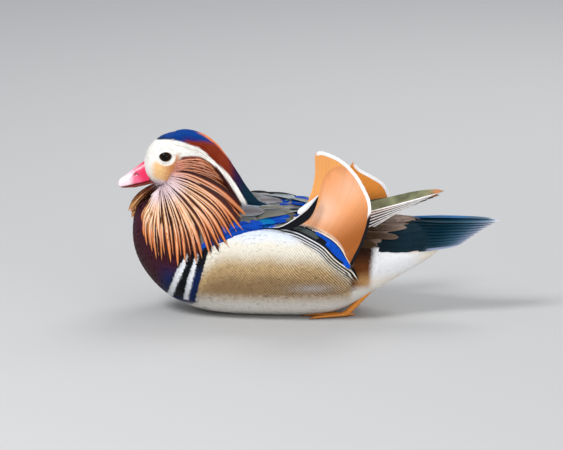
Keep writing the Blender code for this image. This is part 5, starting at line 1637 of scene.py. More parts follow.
def tail_tints(path, share, k):
    """Dark teal vanes, bluer along the top, with a painted blue sheen along the middle quills' upper edges, and pale
    fringes at the tips and the lowest edge.
    """
    wide = np.array(VANE_RING)[:, 0]
    s = k / (TAIL_QUILLS - 1)
    share = share[1:-1, None]
    web = mix(TAIL_TEAL, TAIL_BLUE, (0.1 + 0.9 * fade(share, 0.3, 0.7)) * (1 - 0.5 * s) * np.ones(len(wide)))
    web = mix(web, TAIL_HAZE, 0.65 * fade(share, 0.5, 1.0) * np.ones(len(wide)))
    # The middle quills' upper edges turn bright blue short of the tip: a painted sheen.
    web = mix(web, TAIL_BRIGHT, 0.9 * (wide < -0.3) * (k == 0) * (1 - fade(share, 0.6, 0.8)))
    low = (wide > 0.8) * (0.7 * fade(share, 0.72, 0.92) + 0.9 * (k == TAIL_QUILLS - 1) * fade(share, 0.4, 0.5))
    web = mix(web, TAIL_EDGE, np.clip(low, 0, 1))
    return mix(web, TAIL_TIP, fade(share, 0.86, 0.98) * (0.2 + 0.8 * (np.abs(wide) > 0.3)))


def tail_piece(look):
    """The tail's long feathers, arched like a roof, with pale edges toward their tips."""
    plumage = Plumage("tail_feathers", "tail", look, body_unwrap)
    share = np.linspace(0, 1, 18)
    outline = 8.0 * (0.6 + 0.4 * np.minimum(1, share * 2.5)) * np.sqrt(1 - 0.97 * share**5)
    for side in SIDES.values():
        for k in range(TAIL_QUILLS):
            s = k / (TAIL_QUILLS - 1)
            bend = s**1.25
            root = np.array(TAIL_ROOT_MID) * (1 - s) + np.array(TAIL_ROOT_OUT) * s
            tip = np.array(TAIL_TIP_MID) * (1 - s) + (np.array(TAIL_TIP_OUT) + (-1, -2, 6)) * s
            root[2] = TAIL_ROOT_MID[2] * (1 - bend) + TAIL_ROOT_OUT[2] * bend
            tip[2] = TAIL_TIP_MID[2] * (1 - bend) + TAIL_TIP_OUT[2] * bend
            lean = math.radians(14 + 40 * s)
            across = np.array([0, math.cos(lean), -math.sin(lean)])
            layer = np.array([0, -math.sin(lean), -math.cos(lean)]) * (0.5 * k)
            path = root + np.outer(share, tip - root) + np.outer(4 * share * (1 - share), (0, 1.5 * s, 0.5))
            path = path + layer
            plumage.add([path * (1, side, 1)], np.tile(across * (1, side, 1), (1, 18, 1)), outline,
                        np.full(18, 0.6), TAIL_TIP, VANE_RING, patch=0.03, tints=tail_tints(path, share, k))
    print("PLUMAGE", plumage.name, plumage.triangles())
    return plumage.piece()


def rear_rows(coat, look):
    """Long teal coverts over the tail's sides, and the rump's loose grey-brown feathers on them."""
    plumage = Plumage("tail_coverts", "tail", look, body_unwrap)
    for side in SIDES.values():
        for z_from, z_to, x_from, x_to, count in ((68.5, 67.5, 76, 112, 10), (73, 72, 80, 116, 10),
                                                  (78, 77, 86, 118, 9), (83, 82.5, 94, 120, 8),
                                                  (87.5, 87, 100, 122, 7)):
            row_of(coat, plumage, side, (x_from, z_from), (x_to, z_to), count, 27, 4.4, (TAIL_TEAL * 0.7, TAIL_TEAL),
                   0.7, 0.06)
        for x_from, x_to, z_from, z_to, count in ((56, 66, 74, 71, 4), (58, 78, 79, 78, 8), (56, 88, 84, 84, 11),
                                                  (54, 97, 88.5, 88.5, 13), (54, 104, 90.5, 90, 13)):
            row_of(coat, plumage, side, (x_from, z_from), (x_to, z_to), count, 21, 3.4, (RUMP_DARK, RUMP_GREY),
                   1.0, -0.02)
    print("PLUMAGE", plumage.name, plumage.triangles())
    return plumage.piece()


def row_of(coat, plumage, side, first, last, count, length, half, hues, lift, rise):
    """A row of broad feathers with roots on a line from the first to the last place."""
    draw = coat.draw
    x = np.linspace(first[0], last[0], count) + draw.uniform(-1, 1, count)
    z = np.linspace(first[1], last[1], count) + draw.uniform(-0.5, 0.5, count)
    angle = [angle_at_height(a, b) for a, b in zip(x, z, strict=True)]
    roots = np.array([torso_spot(a, b, side)[0] for a, b in zip(x, angle, strict=True)])
    lies = np.tile((1.0, -0.25 * side, rise), (count, 1)) + draw.normal(0, 0.03, (count, 3))
    web = mix(hues[0], hues[1], fade(x, 68, 102)) * draw.uniform(0.88, 1.1, (count, 1))
    laid_feathers(coat, plumage, roots, roots + lies * length * draw.uniform(0.75, 1.2, (count, 1)), half,
                  web, web * 1.08, lift)


# Bill, eyes and feet

def fine_tube(name, rings, material, slot, hue_at, smooth=1):
    """A closed piece through rings of points, subdivided and coloured by place."""
    points, faces = tube(rings)
    points = np.array(points, float)
    obj = new_piece(name, points, faces, material, slot)
    finish_form(obj, smooth)
    return coloured(obj, hue_at)


def finish_form(obj, levels):
    """Applies a Subdivision Surface to a piece and keeps the result as its plain mesh."""
    if levels:
        soft = obj.modifiers.new("round", "SUBSURF")
        soft.levels = soft.render_levels = levels
        bpy.context.view_layer.update()
        graph = bpy.context.evaluated_depsgraph_get()
        made = bpy.data.meshes.new_from_object(obj.evaluated_get(graph))
        obj.modifiers.clear()
        obj.data = made
    obj.data.shade_smooth()


def points_of(obj):
    points = np.empty(len(obj.data.vertices) * 3)
    obj.data.vertices.foreach_get("co", points)
    return points.reshape(-1, 3) / MM


def coloured(obj, hue_at):
    hues = hue_at(points_of(obj))
    layer = obj.data.color_attributes.new("Hue", "FLOAT_COLOR", "POINT")
    layer.data.foreach_set("color", np.column_stack([hues, np.ones(len(hues))]).astype(np.float32).ravel())
    return obj


def bill_hue(points):
    own = head_frame(points)
    x, y, z = own[:, 0], np.abs(own[:, 1]), own[:, 2]
    hue = mix(BILL_PALE, BILL_PINK, fade(x, -150, -143))
    hue = mix(hue, BILL_RED, fade(x + 0.5 * (z - 126), -145, -136))
    hue = mix(hue, BILL_NAIL, (1 - fade(x, -155, -151)) * (1 - fade(y, 3.6, 5.0)))
    # Along the top ridge towards the tip the bill pales towards BILL_PALE: a painted highlight.
    ridge = fade(z - np.interp(x, BILL[::-1, 0], BILL[::-1, 1]), -3.4, -1.2)
    hue = mix(hue, BILL_PALE, 0.35 * ridge * (1 - fade(x, -142, -134)))
    # The nostril is painted dark red: painted shade in its opening.
    slit = np.exp(-(((x - NOSTRIL[0]) / 2.6) ** 2) - ((z - NOSTRIL[2]) / 1.3) ** 2)
    hue = mix(hue, srgb(120, 10, 24), np.clip(1.1 * slit, 0, 1))
    speck = np.sin(x * 2.3 + 1.0) * np.sin(z * 2.9) * np.sin((x + z) * 1.1)
    hue = mix(hue, BILL_RED, 0.7 * fade(speck, 0.35, 0.6) * fade(x, -148, -144) * (1 - fade(x, -136, -132)))
    # Along the mouth line the red darkens to 0.8: painted shade in the gap between the halves of the bill.
    return mix(hue, BILL_RED * 0.8, 0.7 * (1 - fade(z - np.interp(x, BILL[::-1, 0], BILL[::-1, 2]), 0.1, 1.4)))


def bill_pieces(look):
    """Both halves of the bill: the ridge, the hollow sides, the nostrils and the nail."""
    rings = []
    for i in range(34):
        x, top, mouth, half, hollow = along(BILL, 0.1 + 0.9 * i / 33)
        low = mouth + GAP / 2
        ring = []
        for j in range(21):
            a = math.pi * (0.001 + 0.998 * j / 20)
            y, z = half * math.cos(a), low + 0.5 + (top - low - 0.5) * math.sin(a) ** hollow
            pit = math.exp(-((x - NOSTRIL[0]) / 2.1) ** 2 - ((z - NOSTRIL[2]) / 0.9) ** 2)
            y -= math.copysign(1.1 * pit, y)
            nail = math.exp(-((x + 156.5) / 1.8) ** 2 - (y / 3.4) ** 2)
            ring.append((x, y, z + 0.35 * nail))
        rings.append(ring + [(x, -half * 0.75, low), (x, 0, low), (x, half * 0.75, low)])
    upper = fine_tube("bill_top", [turned_points(r) for r in rings], look, "bill", bill_hue)
    rings = []
    for i in range(26):
        t = i / 25 * 8
        x, _, mouth, half, _ = spline(BILL, t)
        high = mouth - GAP / 2
        deep = LOWER_DEPTH * min(1, max(0.22, 0.22 + (x - LOWER_END) / 16))
        wide = half * LOWER_SHARE * (1 - 0.3 * smooth_step((t - 7) / 1))
        rings.append([(x, wide * math.cos(a), high - deep * math.sin(a) ** 0.8)
                      for a in (math.pi * (0.001 + 0.998 * j / 14) for j in range(15))])
    lower = fine_tube("bill_under", [turned_points(r) for r in rings], look, "bill",
                      lambda p: np.tile(srgb(150, 58, 40), (len(p), 1)))
    return upper, lower


EYE_OUT = 1.0  # how far the eyeball stands out past the solid one


def eye_hue(side):
    centre = turned_points([(EYE_PLACE[0], side * (EYE_PLACE[1] + EYE_OUT), EYE_PLACE[2])])[0]
    axis = unit(turned_vectors([(-0.16, side, 0.05)])[0])

    def hue(points):
        toward = (points - centre) @ axis / EYE_RADIUS
        made = mix(EYE_BROWN * 0.5, EYE_BLACK, fade(toward, 0.78, 0.86))
        return mix(BAR_BLACK, made, fade(toward, 0.2, 0.4))
    return hue


def eye_piece(name, look):
    side = SIDES[name]
    x, y, z = EYE_PLACE
    points, faces = turned(ball((x, side * (y + EYE_OUT), z), (EYE_RADIUS, EYE_RADIUS, 0.93 * EYE_RADIUS), 40, 24))
    obj = new_piece(f"eyeball_{name}", points, faces, look, "eye")
    return coloured(obj, eye_hue(side))


def lid_ring(name, below, look):
    """The eyelids: a pale rim that closes round the eye and runs out under the face's feathers."""
    side = SIDES[name]
    x, y, z = EYE_PLACE
    out = turned_vectors([(0, side, 0)])[0]
    rings = []
    for i in range(56):
        turn = 2 * math.pi * i / 56
        corner = 1 + 0.06 * abs(math.cos(turn)) ** 8
        ring = []
        for long, high, over in ((5.6, 4.55, 0.2), (5.85, 4.8, 0.55), (6.5, 5.5, 0.6), (8.2, 7.4, -0.5),
                                 (8.0, 7.2, -1.6), (5.2, 4.2, -0.8)):
            place = np.array([x + long * corner * math.cos(turn), 0, z + high * math.sin(turn)])
            away = math.hypot(place[0] - x, place[2] - z)
            ball_deep = y + EYE_OUT + math.sqrt(max(EYE_RADIUS**2 - away**2, 0.3))
            base = turned_points([place])[0]
            skin = hit_from(below, base, out)
            skin_deep = ball_deep if skin is None else (skin - base) @ out - 0.9
            share = smooth_step((long - 5.4) / 2.2)
            ring.append(base + out * (ball_deep * (1 - share) + skin_deep * share + over))
        rings.append(ring)
    points = np.concatenate(rings)
    faces = []
    for i in range(56):
        for j in range(6):
            a, b = 6 * i + j, 6 * i + (j + 1) % 6
            c, d = (a + 6) % 336, (b + 6) % 336
            faces += [(a, b, d), (a, d, c)]
    faces = np.array(faces)
    corners = points[faces] - points.mean(0)
    if np.einsum("ij,ij->i", corners[:, 0], np.cross(corners[:, 1], corners[:, 2])).sum() < 0:
        faces = faces[:, ::-1]
    obj = new_piece(f"eyelids_{name}", points, faces, look, "head")
    finish_form(obj, 1)
    return coloured(obj, lambda p: np.tile(LID_WHITE, (len(p), 1)))


def foot_piece(name, look):
    """Tarsus, toes and web in one, joined by a fine remesh with its sole flat."""
    points, faces = [], []
    for form_points, form_faces in leg_pieces(SIDES[name]):
        faces += [tuple(i + len(points) for i in f) for f in form_faces]
        points += [tuple(np.asarray(p) * MM) for p in form_points]
    mesh = bpy.data.meshes.new("foot")
    mesh.from_pydata(points, [], faces)
    obj = bpy.data.objects.new("foot", mesh)
    bpy.context.scene.collection.objects.link(obj)
    join = obj.modifiers.new("join", "REMESH")
    join.mode, join.voxel_size = "VOXEL", 0.45 * MM
    soften = obj.modifiers.new("soften", "SMOOTH")
    soften.factor, soften.iterations = 0.5, 5
    bpy.context.view_layer.update()
    graph = bpy.context.evaluated_depsgraph_get()
    made = bpy.data.meshes.new_from_object(obj.evaluated_get(graph))
    bpy.data.objects.remove(obj)
    made.name = f"foot_{name}"
    obj = bpy.data.objects.new(f"foot_{name}", made)
    bpy.context.scene.collection.objects.link(obj)
    obj["slot"] = "leg"
    points = points_of(obj)
    points[:, 2] = np.maximum(points[:, 2], 0.0)
    made.vertices.foreach_set("co", (points * MM).astype(np.float32).ravel())
    made.materials.clear()
    made.materials.append(look)
    made.shade_smooth()
    return coloured(obj, lambda p: mix(FOOT_WEB, FOOT_ORANGE, fade(p[:, 2], 0.9, 1.8)))


# Materials

def group_of(name, sockets, build):
    """A shader node group with named inputs and outputs, built once."""
    group = bpy.data.node_groups.new(name, "ShaderNodeTree")
    for label, direction, kind, value in sockets:
        socket = group.interface.new_socket(label, in_out=direction, socket_type=kind)
        if value is not None:
            socket.default_value = value
    build(group, group.nodes.new("NodeGroupInput"), group.nodes.new("NodeGroupOutput"))
    return group


def maths(group, operation, first, second=None):
    node = group.nodes.new("ShaderNodeMath")
    node.operation = operation
    for socket, value in zip(node.inputs, (first, second), strict=False):
        if value is None:
            continue
        if isinstance(value, (int, float)):
            socket.default_value = value
        else:
            group.links.new(value, socket)
    return node.outputs[0]


def barb_group():
    """Fine barbs that slant from the shaft to the rims, with a little uneven tone."""
    def build(group, into, out):
        place = group.nodes.new("ShaderNodeUVMap")
        place.uv_map = "Vane"
        parts = group.nodes.new("ShaderNodeSeparateXYZ")
        group.links.new(place.outputs[0], parts.inputs[0])
        off = maths(group, "ABSOLUTE", maths(group, "SUBTRACT", parts.outputs[0], 0.5))
        slant = maths(group, "SUBTRACT", parts.outputs[1], maths(group, "MULTIPLY", off, into.outputs["Slant"]))
        wave = maths(group, "SINE", maths(group, "MULTIPLY", slant, into.outputs["Barbs"]))
        where = group.nodes.new("ShaderNodeTexCoord")
        noise = group.nodes.new("ShaderNodeTexNoise")
        noise.inputs["Scale"].default_value = 260
        noise.inputs["Detail"].default_value = 3
        group.links.new(where.outputs["Object"], noise.inputs["Vector"])
        tone = maths(group, "ADD", maths(group, "MULTIPLY", wave, into.outputs["Depth"]),
                     maths(group, "MULTIPLY", maths(group, "SUBTRACT", noise.outputs["Fac"], 0.5),
                           into.outputs["Uneven"]))
        scale = group.nodes.new("ShaderNodeVectorMath")
        scale.operation = "SCALE"
        group.links.new(into.outputs["Hue"], scale.inputs[0])
        group.links.new(maths(group, "ADD", tone, 1.0), scale.inputs["Scale"])
        group.links.new(scale.outputs[0], out.inputs["Hue"])
        group.links.new(wave, out.inputs["Height"])
        group.links.new(maths(group, "ADD", maths(group, "MULTIPLY", noise.outputs["Fac"], 0.2), into.outputs["Rough"]),
                        out.inputs["Rough"])
    return group_of("barbs", [
        ("Hue", "INPUT", "NodeSocketColor", None), ("Barbs", "INPUT", "NodeSocketFloat", 60.0),
        ("Slant", "INPUT", "NodeSocketFloat", 0.6), ("Depth", "INPUT", "NodeSocketFloat", 0.06),
        ("Uneven", "INPUT", "NodeSocketFloat", 0.25), ("Rough", "INPUT", "NodeSocketFloat", 0.45),
        ("Hue", "OUTPUT", "NodeSocketColor", None), ("Height", "OUTPUT", "NodeSocketFloat", None),
        ("Rough", "OUTPUT", "NodeSocketFloat", None),
    ], build)


def feather_look(name, barbs, rough=0.5, depth=0.06, uneven=0.25, specular=0.3, sheen=0.0, coat=0.0,
                 wavy=0.0, waves=210.0):
    """A feather finish: the markings with barbs over them, and fine dark waves where asked."""
    look = bpy.data.materials.new(name)
    look.use_nodes = True
    nodes, links = look.node_tree.nodes, look.node_tree.links
    shader = nodes["Principled BSDF"]
    hue = nodes.new("ShaderNodeAttribute")
    hue.attribute_name = "Hue"
    detail = nodes.new("ShaderNodeGroup")
    detail.node_tree = barbs
    detail.inputs["Depth"].default_value = depth
    detail.inputs["Uneven"].default_value = uneven
    detail.inputs["Rough"].default_value = rough - 0.1
    links.new(hue.outputs["Color"], detail.inputs["Hue"])
    colour = detail.outputs["Hue"]
    if wavy:
        colour = vermiculated(look.node_tree, colour, wavy, waves)
    links.new(colour, shader.inputs["Base Color"])
    links.new(detail.outputs["Rough"], shader.inputs["Roughness"])
    bump = nodes.new("ShaderNodeBump")
    bump.inputs["Strength"].default_value = 0.25
    bump.inputs["Distance"].default_value = 0.0002
    links.new(detail.outputs["Height"], bump.inputs["Height"])
    links.new(bump.outputs["Normal"], shader.inputs["Normal"])
    shader.inputs["Specular IOR Level"].default_value = specular
    shader.inputs["Sheen Weight"].default_value = sheen
    shader.inputs["Sheen Roughness"].default_value = 0.4
    shader.inputs["Coat Weight"].default_value = coat
    shader.inputs["Coat Roughness"].default_value = 0.35
    return look


def vermiculated(tree, colour, strength, scale):
    """Fine dark waves across the flank, stronger low and to the rear."""
    nodes, links = tree.nodes, tree.links
    where = nodes.new("ShaderNodeTexCoord")
    turn = nodes.new("ShaderNodeMapping")
    turn.inputs["Rotation"].default_value = (0, math.radians(-140), 0)
    waves = nodes.new("ShaderNodeTexWave")
    waves.bands_direction = "X"
    waves.inputs["Scale"].default_value = scale
    waves.inputs["Distortion"].default_value = 6.0
    waves.inputs["Detail"].default_value = 2
    waves.inputs["Detail Scale"].default_value = 0.5
    links.new(where.outputs["Object"], turn.inputs["Vector"])
    links.new(turn.outputs[0], waves.inputs["Vector"])
    parts = nodes.new("ShaderNodeSeparateXYZ")
    links.new(where.outputs["Object"], parts.inputs[0])
    low = nodes.new("ShaderNodeMapRange")
    low.inputs["From Min"].default_value, low.inputs["From Max"].default_value = 0.082, 0.045
    links.new(parts.outputs["Z"], low.inputs["Value"])
    rear = nodes.new("ShaderNodeMapRange")
    rear.inputs["From Min"].default_value, rear.inputs["From Max"].default_value = -0.05, 0.05
    rear.inputs["To Min"].default_value = 0.55
    links.new(parts.outputs["X"], rear.inputs["Value"])
    ramp = nodes.new("ShaderNodeMapRange")
    ramp.inputs["From Min"].default_value, ramp.inputs["From Max"].default_value = 0.45, 0.75
    links.new(waves.outputs["Fac"], ramp.inputs["Value"])
    amount = maths(tree, "MULTIPLY", low.outputs[0], rear.outputs[0])
    amount = maths(tree, "MULTIPLY", maths(tree, "MULTIPLY", amount, ramp.outputs[0]), strength)
    blend = nodes.new("ShaderNodeMix")
    blend.data_type, blend.blend_type = "RGBA", "MULTIPLY"
    links.new(amount, blend.inputs["Factor"])
    links.new(colour, blend.inputs["A"])
    blend.inputs["B"].default_value = (*srgb(96, 66, 40), 1)
    return blend.outputs["Result"]


def plain_look(name, rough, bump_scale, bump_depth, specular=0.5, coat=0.0):
    """A finish for horn, skin and eyes: the piece's own colours with a fine grain."""
    look = bpy.data.materials.new(name)
    look.use_nodes = True
    nodes, links = look.node_tree.nodes, look.node_tree.links
    shader = nodes["Principled BSDF"]
    hue = nodes.new("ShaderNodeAttribute")
    hue.attribute_name = "Hue"
    where = nodes.new("ShaderNodeTexCoord")
    grain = nodes.new("ShaderNodeTexNoise")
    grain.inputs["Scale"].default_value = bump_scale
    grain.inputs["Detail"].default_value = 4
    links.new(where.outputs["Object"], grain.inputs["Vector"])
    tone = nodes.new("ShaderNodeVectorMath")
    tone.operation = "SCALE"
    links.new(hue.outputs["Color"], tone.inputs[0])
    links.new(maths(look.node_tree, "ADD", maths(look.node_tree, "MULTIPLY", grain.outputs["Fac"], 0.3), 0.85),
              tone.inputs["Scale"])
    links.new(tone.outputs[0], shader.inputs["Base Color"])
    bump = nodes.new("ShaderNodeBump")
    bump.inputs["Strength"].default_value = 0.4
    bump.inputs["Distance"].default_value = bump_depth
    links.new(grain.outputs["Fac"], bump.inputs["Height"])
    links.new(bump.outputs["Normal"], shader.inputs["Normal"])
    shader.inputs["Roughness"].default_value = rough
    shader.inputs["Specular IOR Level"].default_value = specular
    shader.inputs["Coat Weight"].default_value = coat
    shader.inputs["Coat Roughness"].default_value = 0.05
    return look


# Flank edge

FLANK_LINE = np.array([  # the white line along the flank's upper edge, x and z on the plane 60 mm out
    (-16, 88.6), (-3, 88.2), (12.1, 85), (24.6, 78.9), (37.1, 71.6), (47.1, 60.7), (58.8, 52.5), (64.8, 48.3),
])
FLANK_STRIPES = (  # distance below the line, half width, start and end as shares of it, white or not, lift
    (-1.7, 1.2, 0.12, 0.93, False, 1.7), (0.0, 0.7, 0.0, 0.99, True, 2.3), (1.4, 0.62, 0.14, 0.99, False, 2.0),
    (2.6, 0.5, 0.2, 0.98, True, 2.2), (3.7, 0.5, 0.24, 0.97, False, 1.9), (4.8, 0.4, 0.3, 0.96, True, 2.1),
    (5.8, 0.4, 0.36, 0.93, False, 1.8), (6.8, 0.3, 0.44, 0.9, True, 1.9),
)
END_STRIPES = (  # the short bold stripes behind the flank: x and z of both ends, half width, white or not, lift
    ((62.0, 55.5), (67.6, 45.2), 1.4, False, 2.2), ((61.0, 52.8), (67.0, 44.4), 0.75, True, 2.8),
    ((59.2, 51.6), (65.2, 44.0), 0.7, False, 2.4), ((57.4, 51.0), (63.4, 43.6), 0.5, True, 2.7),
    ((55.8, 50.0), (61.6, 43.4), 0.5, False, 2.2),
)


def tufts_along_paths():
    """Geometry Nodes: slim tufts, one overlapping the next, along paths that give hue and width."""
    tree = bpy.data.node_groups.new("tufts_along_paths", "GeometryNodeTree")
    tree.interface.new_socket("Geometry", in_out="INPUT", socket_type="NodeSocketGeometry")
    for label, value in (("Spacing", 0.0015), ("Tuft Length", 0.006), ("Flatness", 0.5), ("Out", 1.0)):
        tree.interface.new_socket(label, in_out="INPUT", socket_type="NodeSocketFloat").default_value = value
    tree.interface.new_socket("Seed", in_out="INPUT", socket_type="NodeSocketInt").default_value = 3
    tree.interface.new_socket("Material", in_out="INPUT", socket_type="NodeSocketMaterial")
    tree.interface.new_socket("Geometry", in_out="OUTPUT", socket_type="NodeSocketGeometry")
    new, link = tree.nodes.new, tree.links.new
    into, out = new("NodeGroupInput"), new("NodeGroupOutput")
    curve, even = new("GeometryNodeMeshToCurve"), new("GeometryNodeResampleCurve")
    even.mode = "LENGTH"
    link(into.outputs["Geometry"], curve.inputs["Mesh"])
    link(curve.outputs[0], even.inputs["Curve"])
    link(into.outputs["Spacing"], even.inputs["Length"])
    tuft = new("GeometryNodeMeshCone")
    tuft.fill_type = "TRIANGLE_FAN"
    for label, value in (("Vertices", 6), ("Radius Top", 0.12), ("Radius Bottom", 1.0), ("Depth", 1.0)):
        tuft.inputs[label].default_value = value
    along_it, faced = new("FunctionNodeAlignRotationToVector"), new("FunctionNodeAlignRotationToVector")
    along_it.axis, faced.axis, faced.pivot_axis = "Z", "Y", "Z"
    link(new("GeometryNodeInputTangent").outputs[0], along_it.inputs["Vector"])
    sideways = new("ShaderNodeCombineXYZ")
    link(into.outputs["Out"], sideways.inputs["Y"])
    link(along_it.outputs[0], faced.inputs["Rotation"])
    link(sideways.outputs[0], faced.inputs["Vector"])
    width = new("GeometryNodeInputNamedAttribute")
    width.data_type = "FLOAT"
    width.inputs["Name"].default_value = "Width"
    chance = new("FunctionNodeRandomValue")
    chance.data_type = "FLOAT"
    for socket in chance.inputs:
        if socket.enabled and socket.name in ("Min", "Max"):
            socket.default_value = 0.8 if socket.name == "Min" else 1.15
        if socket.name == "Seed":
            link(into.outputs["Seed"], socket)
    drawn = next(s for s in chance.outputs if s.enabled)
    sizes = new("ShaderNodeCombineXYZ")
    link(width.outputs[0], sizes.inputs["X"])
    link(maths(tree, "MULTIPLY", width.outputs[0], into.outputs["Flatness"]), sizes.inputs["Y"])
    link(maths(tree, "MULTIPLY", into.outputs["Tuft Length"], drawn), sizes.inputs["Z"])
    place = new("GeometryNodeInstanceOnPoints")
    link(even.outputs[0], place.inputs["Points"])
    link(tuft.outputs["Mesh"], place.inputs["Instance"])
    link(faced.outputs[0], place.inputs["Rotation"])
    link(sizes.outputs[0], place.inputs["Scale"])
    real, finish = new("GeometryNodeRealizeInstances"), new("GeometryNodeSetMaterial")
    link(place.outputs[0], real.inputs[0])
    link(real.outputs[0], finish.inputs["Geometry"])
    link(into.outputs["Material"], finish.inputs["Material"])
    link(finish.outputs[0], out.inputs[0])
    return tree


def grown(name, paths, hues, widths, settings):
    """A plain mesh of tufts along paths in millimetres; the modifier is gone when it returns."""
    mesh = bpy.data.meshes.new(name)
    points, edges = [], []
    for path in paths:
        edges += [(len(points) + i, len(points) + i + 1) for i in range(len(path) - 1)]
        points += [tuple(p * MM) for p in path]
    mesh.from_pydata(points, edges, [])
    tints = np.concatenate(hues)
    tints = np.column_stack([tints, np.ones(len(tints))])
    mesh.attributes.new("Hue", "FLOAT_COLOR", "POINT").data.foreach_set("color", tints.astype(np.float32).ravel())
    mesh.attributes.new("Width", "FLOAT", "POINT").data.foreach_set(
        "value", np.concatenate(widths).astype(np.float32) * MM)
    obj = bpy.data.objects.new(name, mesh)
    bpy.context.scene.collection.objects.link(obj)
    tree = bpy.data.node_groups.get("tufts_along_paths") or tufts_along_paths()
    modifier = obj.modifiers.new("tufts", "NODES")
    modifier.node_group = tree
    keys = {item.name: item.identifier for item in tree.interface.items_tree if item.in_out == "INPUT"}
    for label, value in settings.items():
        modifier[keys[label]] = value
    bpy.context.view_layer.update()
    graph = bpy.context.evaluated_depsgraph_get()
    made = bpy.data.meshes.new_from_object(obj.evaluated_get(graph))
    obj.modifiers.clear()
    obj.data = made
    return obj


def flank_lines(name, below, look):
    """The black and white lines along the flank's upper edge and the bold stripes at its end."""
    side = SIDES[name]
    line = np.array([along(FLANK_LINE, t) for t in np.linspace(0, 1, 60)])
    down = np.gradient(line, axis=0)[:, ::-1] * (-1, 1) * -1
    down /= np.linalg.norm(down, axis=1, keepdims=True)
    down *= np.where(down[:, 1:] > 0, -1, 1)
    paths, hues, widths = [], [], []

    def add(flat, half, white, lift):
        count = len(flat)
        spots = np.array([behind(below, place, side) for place in flat])
        for _ in range(8):
            spots[1:-1] = (spots[:-2] + 2 * spots[1:-1] + spots[2:]) / 4
        spots -= SLANT * (1, -side, 1) * (lift + 1.0)
        taper = np.minimum(1, np.minimum(np.linspace(0.35, count / 5, count), np.linspace(count / 5, 0.35, count)))
        paths.append(spots)
        tone = mix(BAR_WHITE, FLANK_CREAM, fade(flat[:, 0], 30, 46)) if white else np.tile(BAR_BLACK, (count, 1))
        hues.append(tone)
        widths.append(half * taper)

    for off, half, start, end, white, lift in FLANK_STRIPES:
        chosen = slice(int(start * 59), int(end * 59) + 1)
        add(line[chosen] + down[chosen] * off, half, white, lift)
    for first, last, half, white, lift in END_STRIPES:
        add(np.linspace(first, last, 10), half, white, lift)
    obj = grown(f"flank_lines_{name}", paths, hues, widths,
                {"Spacing": 0.0014, "Tuft Length": 0.0055, "Flatness": 0.7, "Out": float(side), "Seed": 5,
                 "Material": look})
    obj["slot"] = "breast"
    points = points_of(obj)
    size = 14
    roots = np.repeat(points.reshape(-1, size, 3)[:, 0], size, 0) if len(points) % size == 0 else points
    places = np.clip(body_unwrap(roots) + (points - roots)[:, [0, 2]] * 0.0003, 0.005, 0.995)
    corners = np.empty(len(obj.data.loops), np.int32)
    obj.data.loops.foreach_get("vertex_index", corners)
    for layer in list(obj.data.uv_layers):
        obj.data.uv_layers.remove(layer)
    for label, values in (("OFBake", places), ("Vane", np.full((len(points), 2), 0.5))):
        obj.data.uv_layers.new(name=label).data.foreach_set("uv", values[corners].astype(np.float32).ravel())
    obj.data.uv_layers.active = obj.data.uv_layers[0]
    obj.data.shade_smooth()
    return obj


def make_looks():
    barbs = barb_group()
    return {
        "soft": feather_look("soft_feather", barbs, rough=0.7, uneven=0.08, depth=0.02, specular=0.12),
        "gloss": feather_look("glossy_feather", barbs, rough=0.5, uneven=0.3, specular=0.1),
        "wing": feather_look("wing_feather", barbs, rough=0.5, uneven=0.2, depth=0.05, specular=0.1),
        "primary": feather_look("flight_feather", barbs, rough=0.5, uneven=0.55, depth=0.05, specular=0.1),
        "maroon": feather_look("breast_feather", barbs, rough=0.55, uneven=0.25, specular=0.1),
        "flank": feather_look("flank_feather", barbs, rough=0.7, uneven=0.06, depth=0.0, specular=0.12, wavy=0.7,
                              waves=165.0),
        "hackle": feather_look("hackle", barbs, rough=0.55, depth=0.04, uneven=0.15, specular=0.15),
        "sail": feather_look("sail_barbs", barbs, rough=0.6, depth=0.02, uneven=0.06, specular=0.15),
        "bill": plain_look("bill_horn", 0.34, 900, 0.0001, 0.5, 0.25),
        "eye": plain_look("eye_gloss", 0.06, 50, 0.00001, 0.14, 0.0),
        "foot": plain_look("foot_skin", 0.5, 1400, 0.0003, 0.4),
        "lid": plain_look("eyelid", 0.55, 1200, 0.0001, 0.3),
    }


# Studio

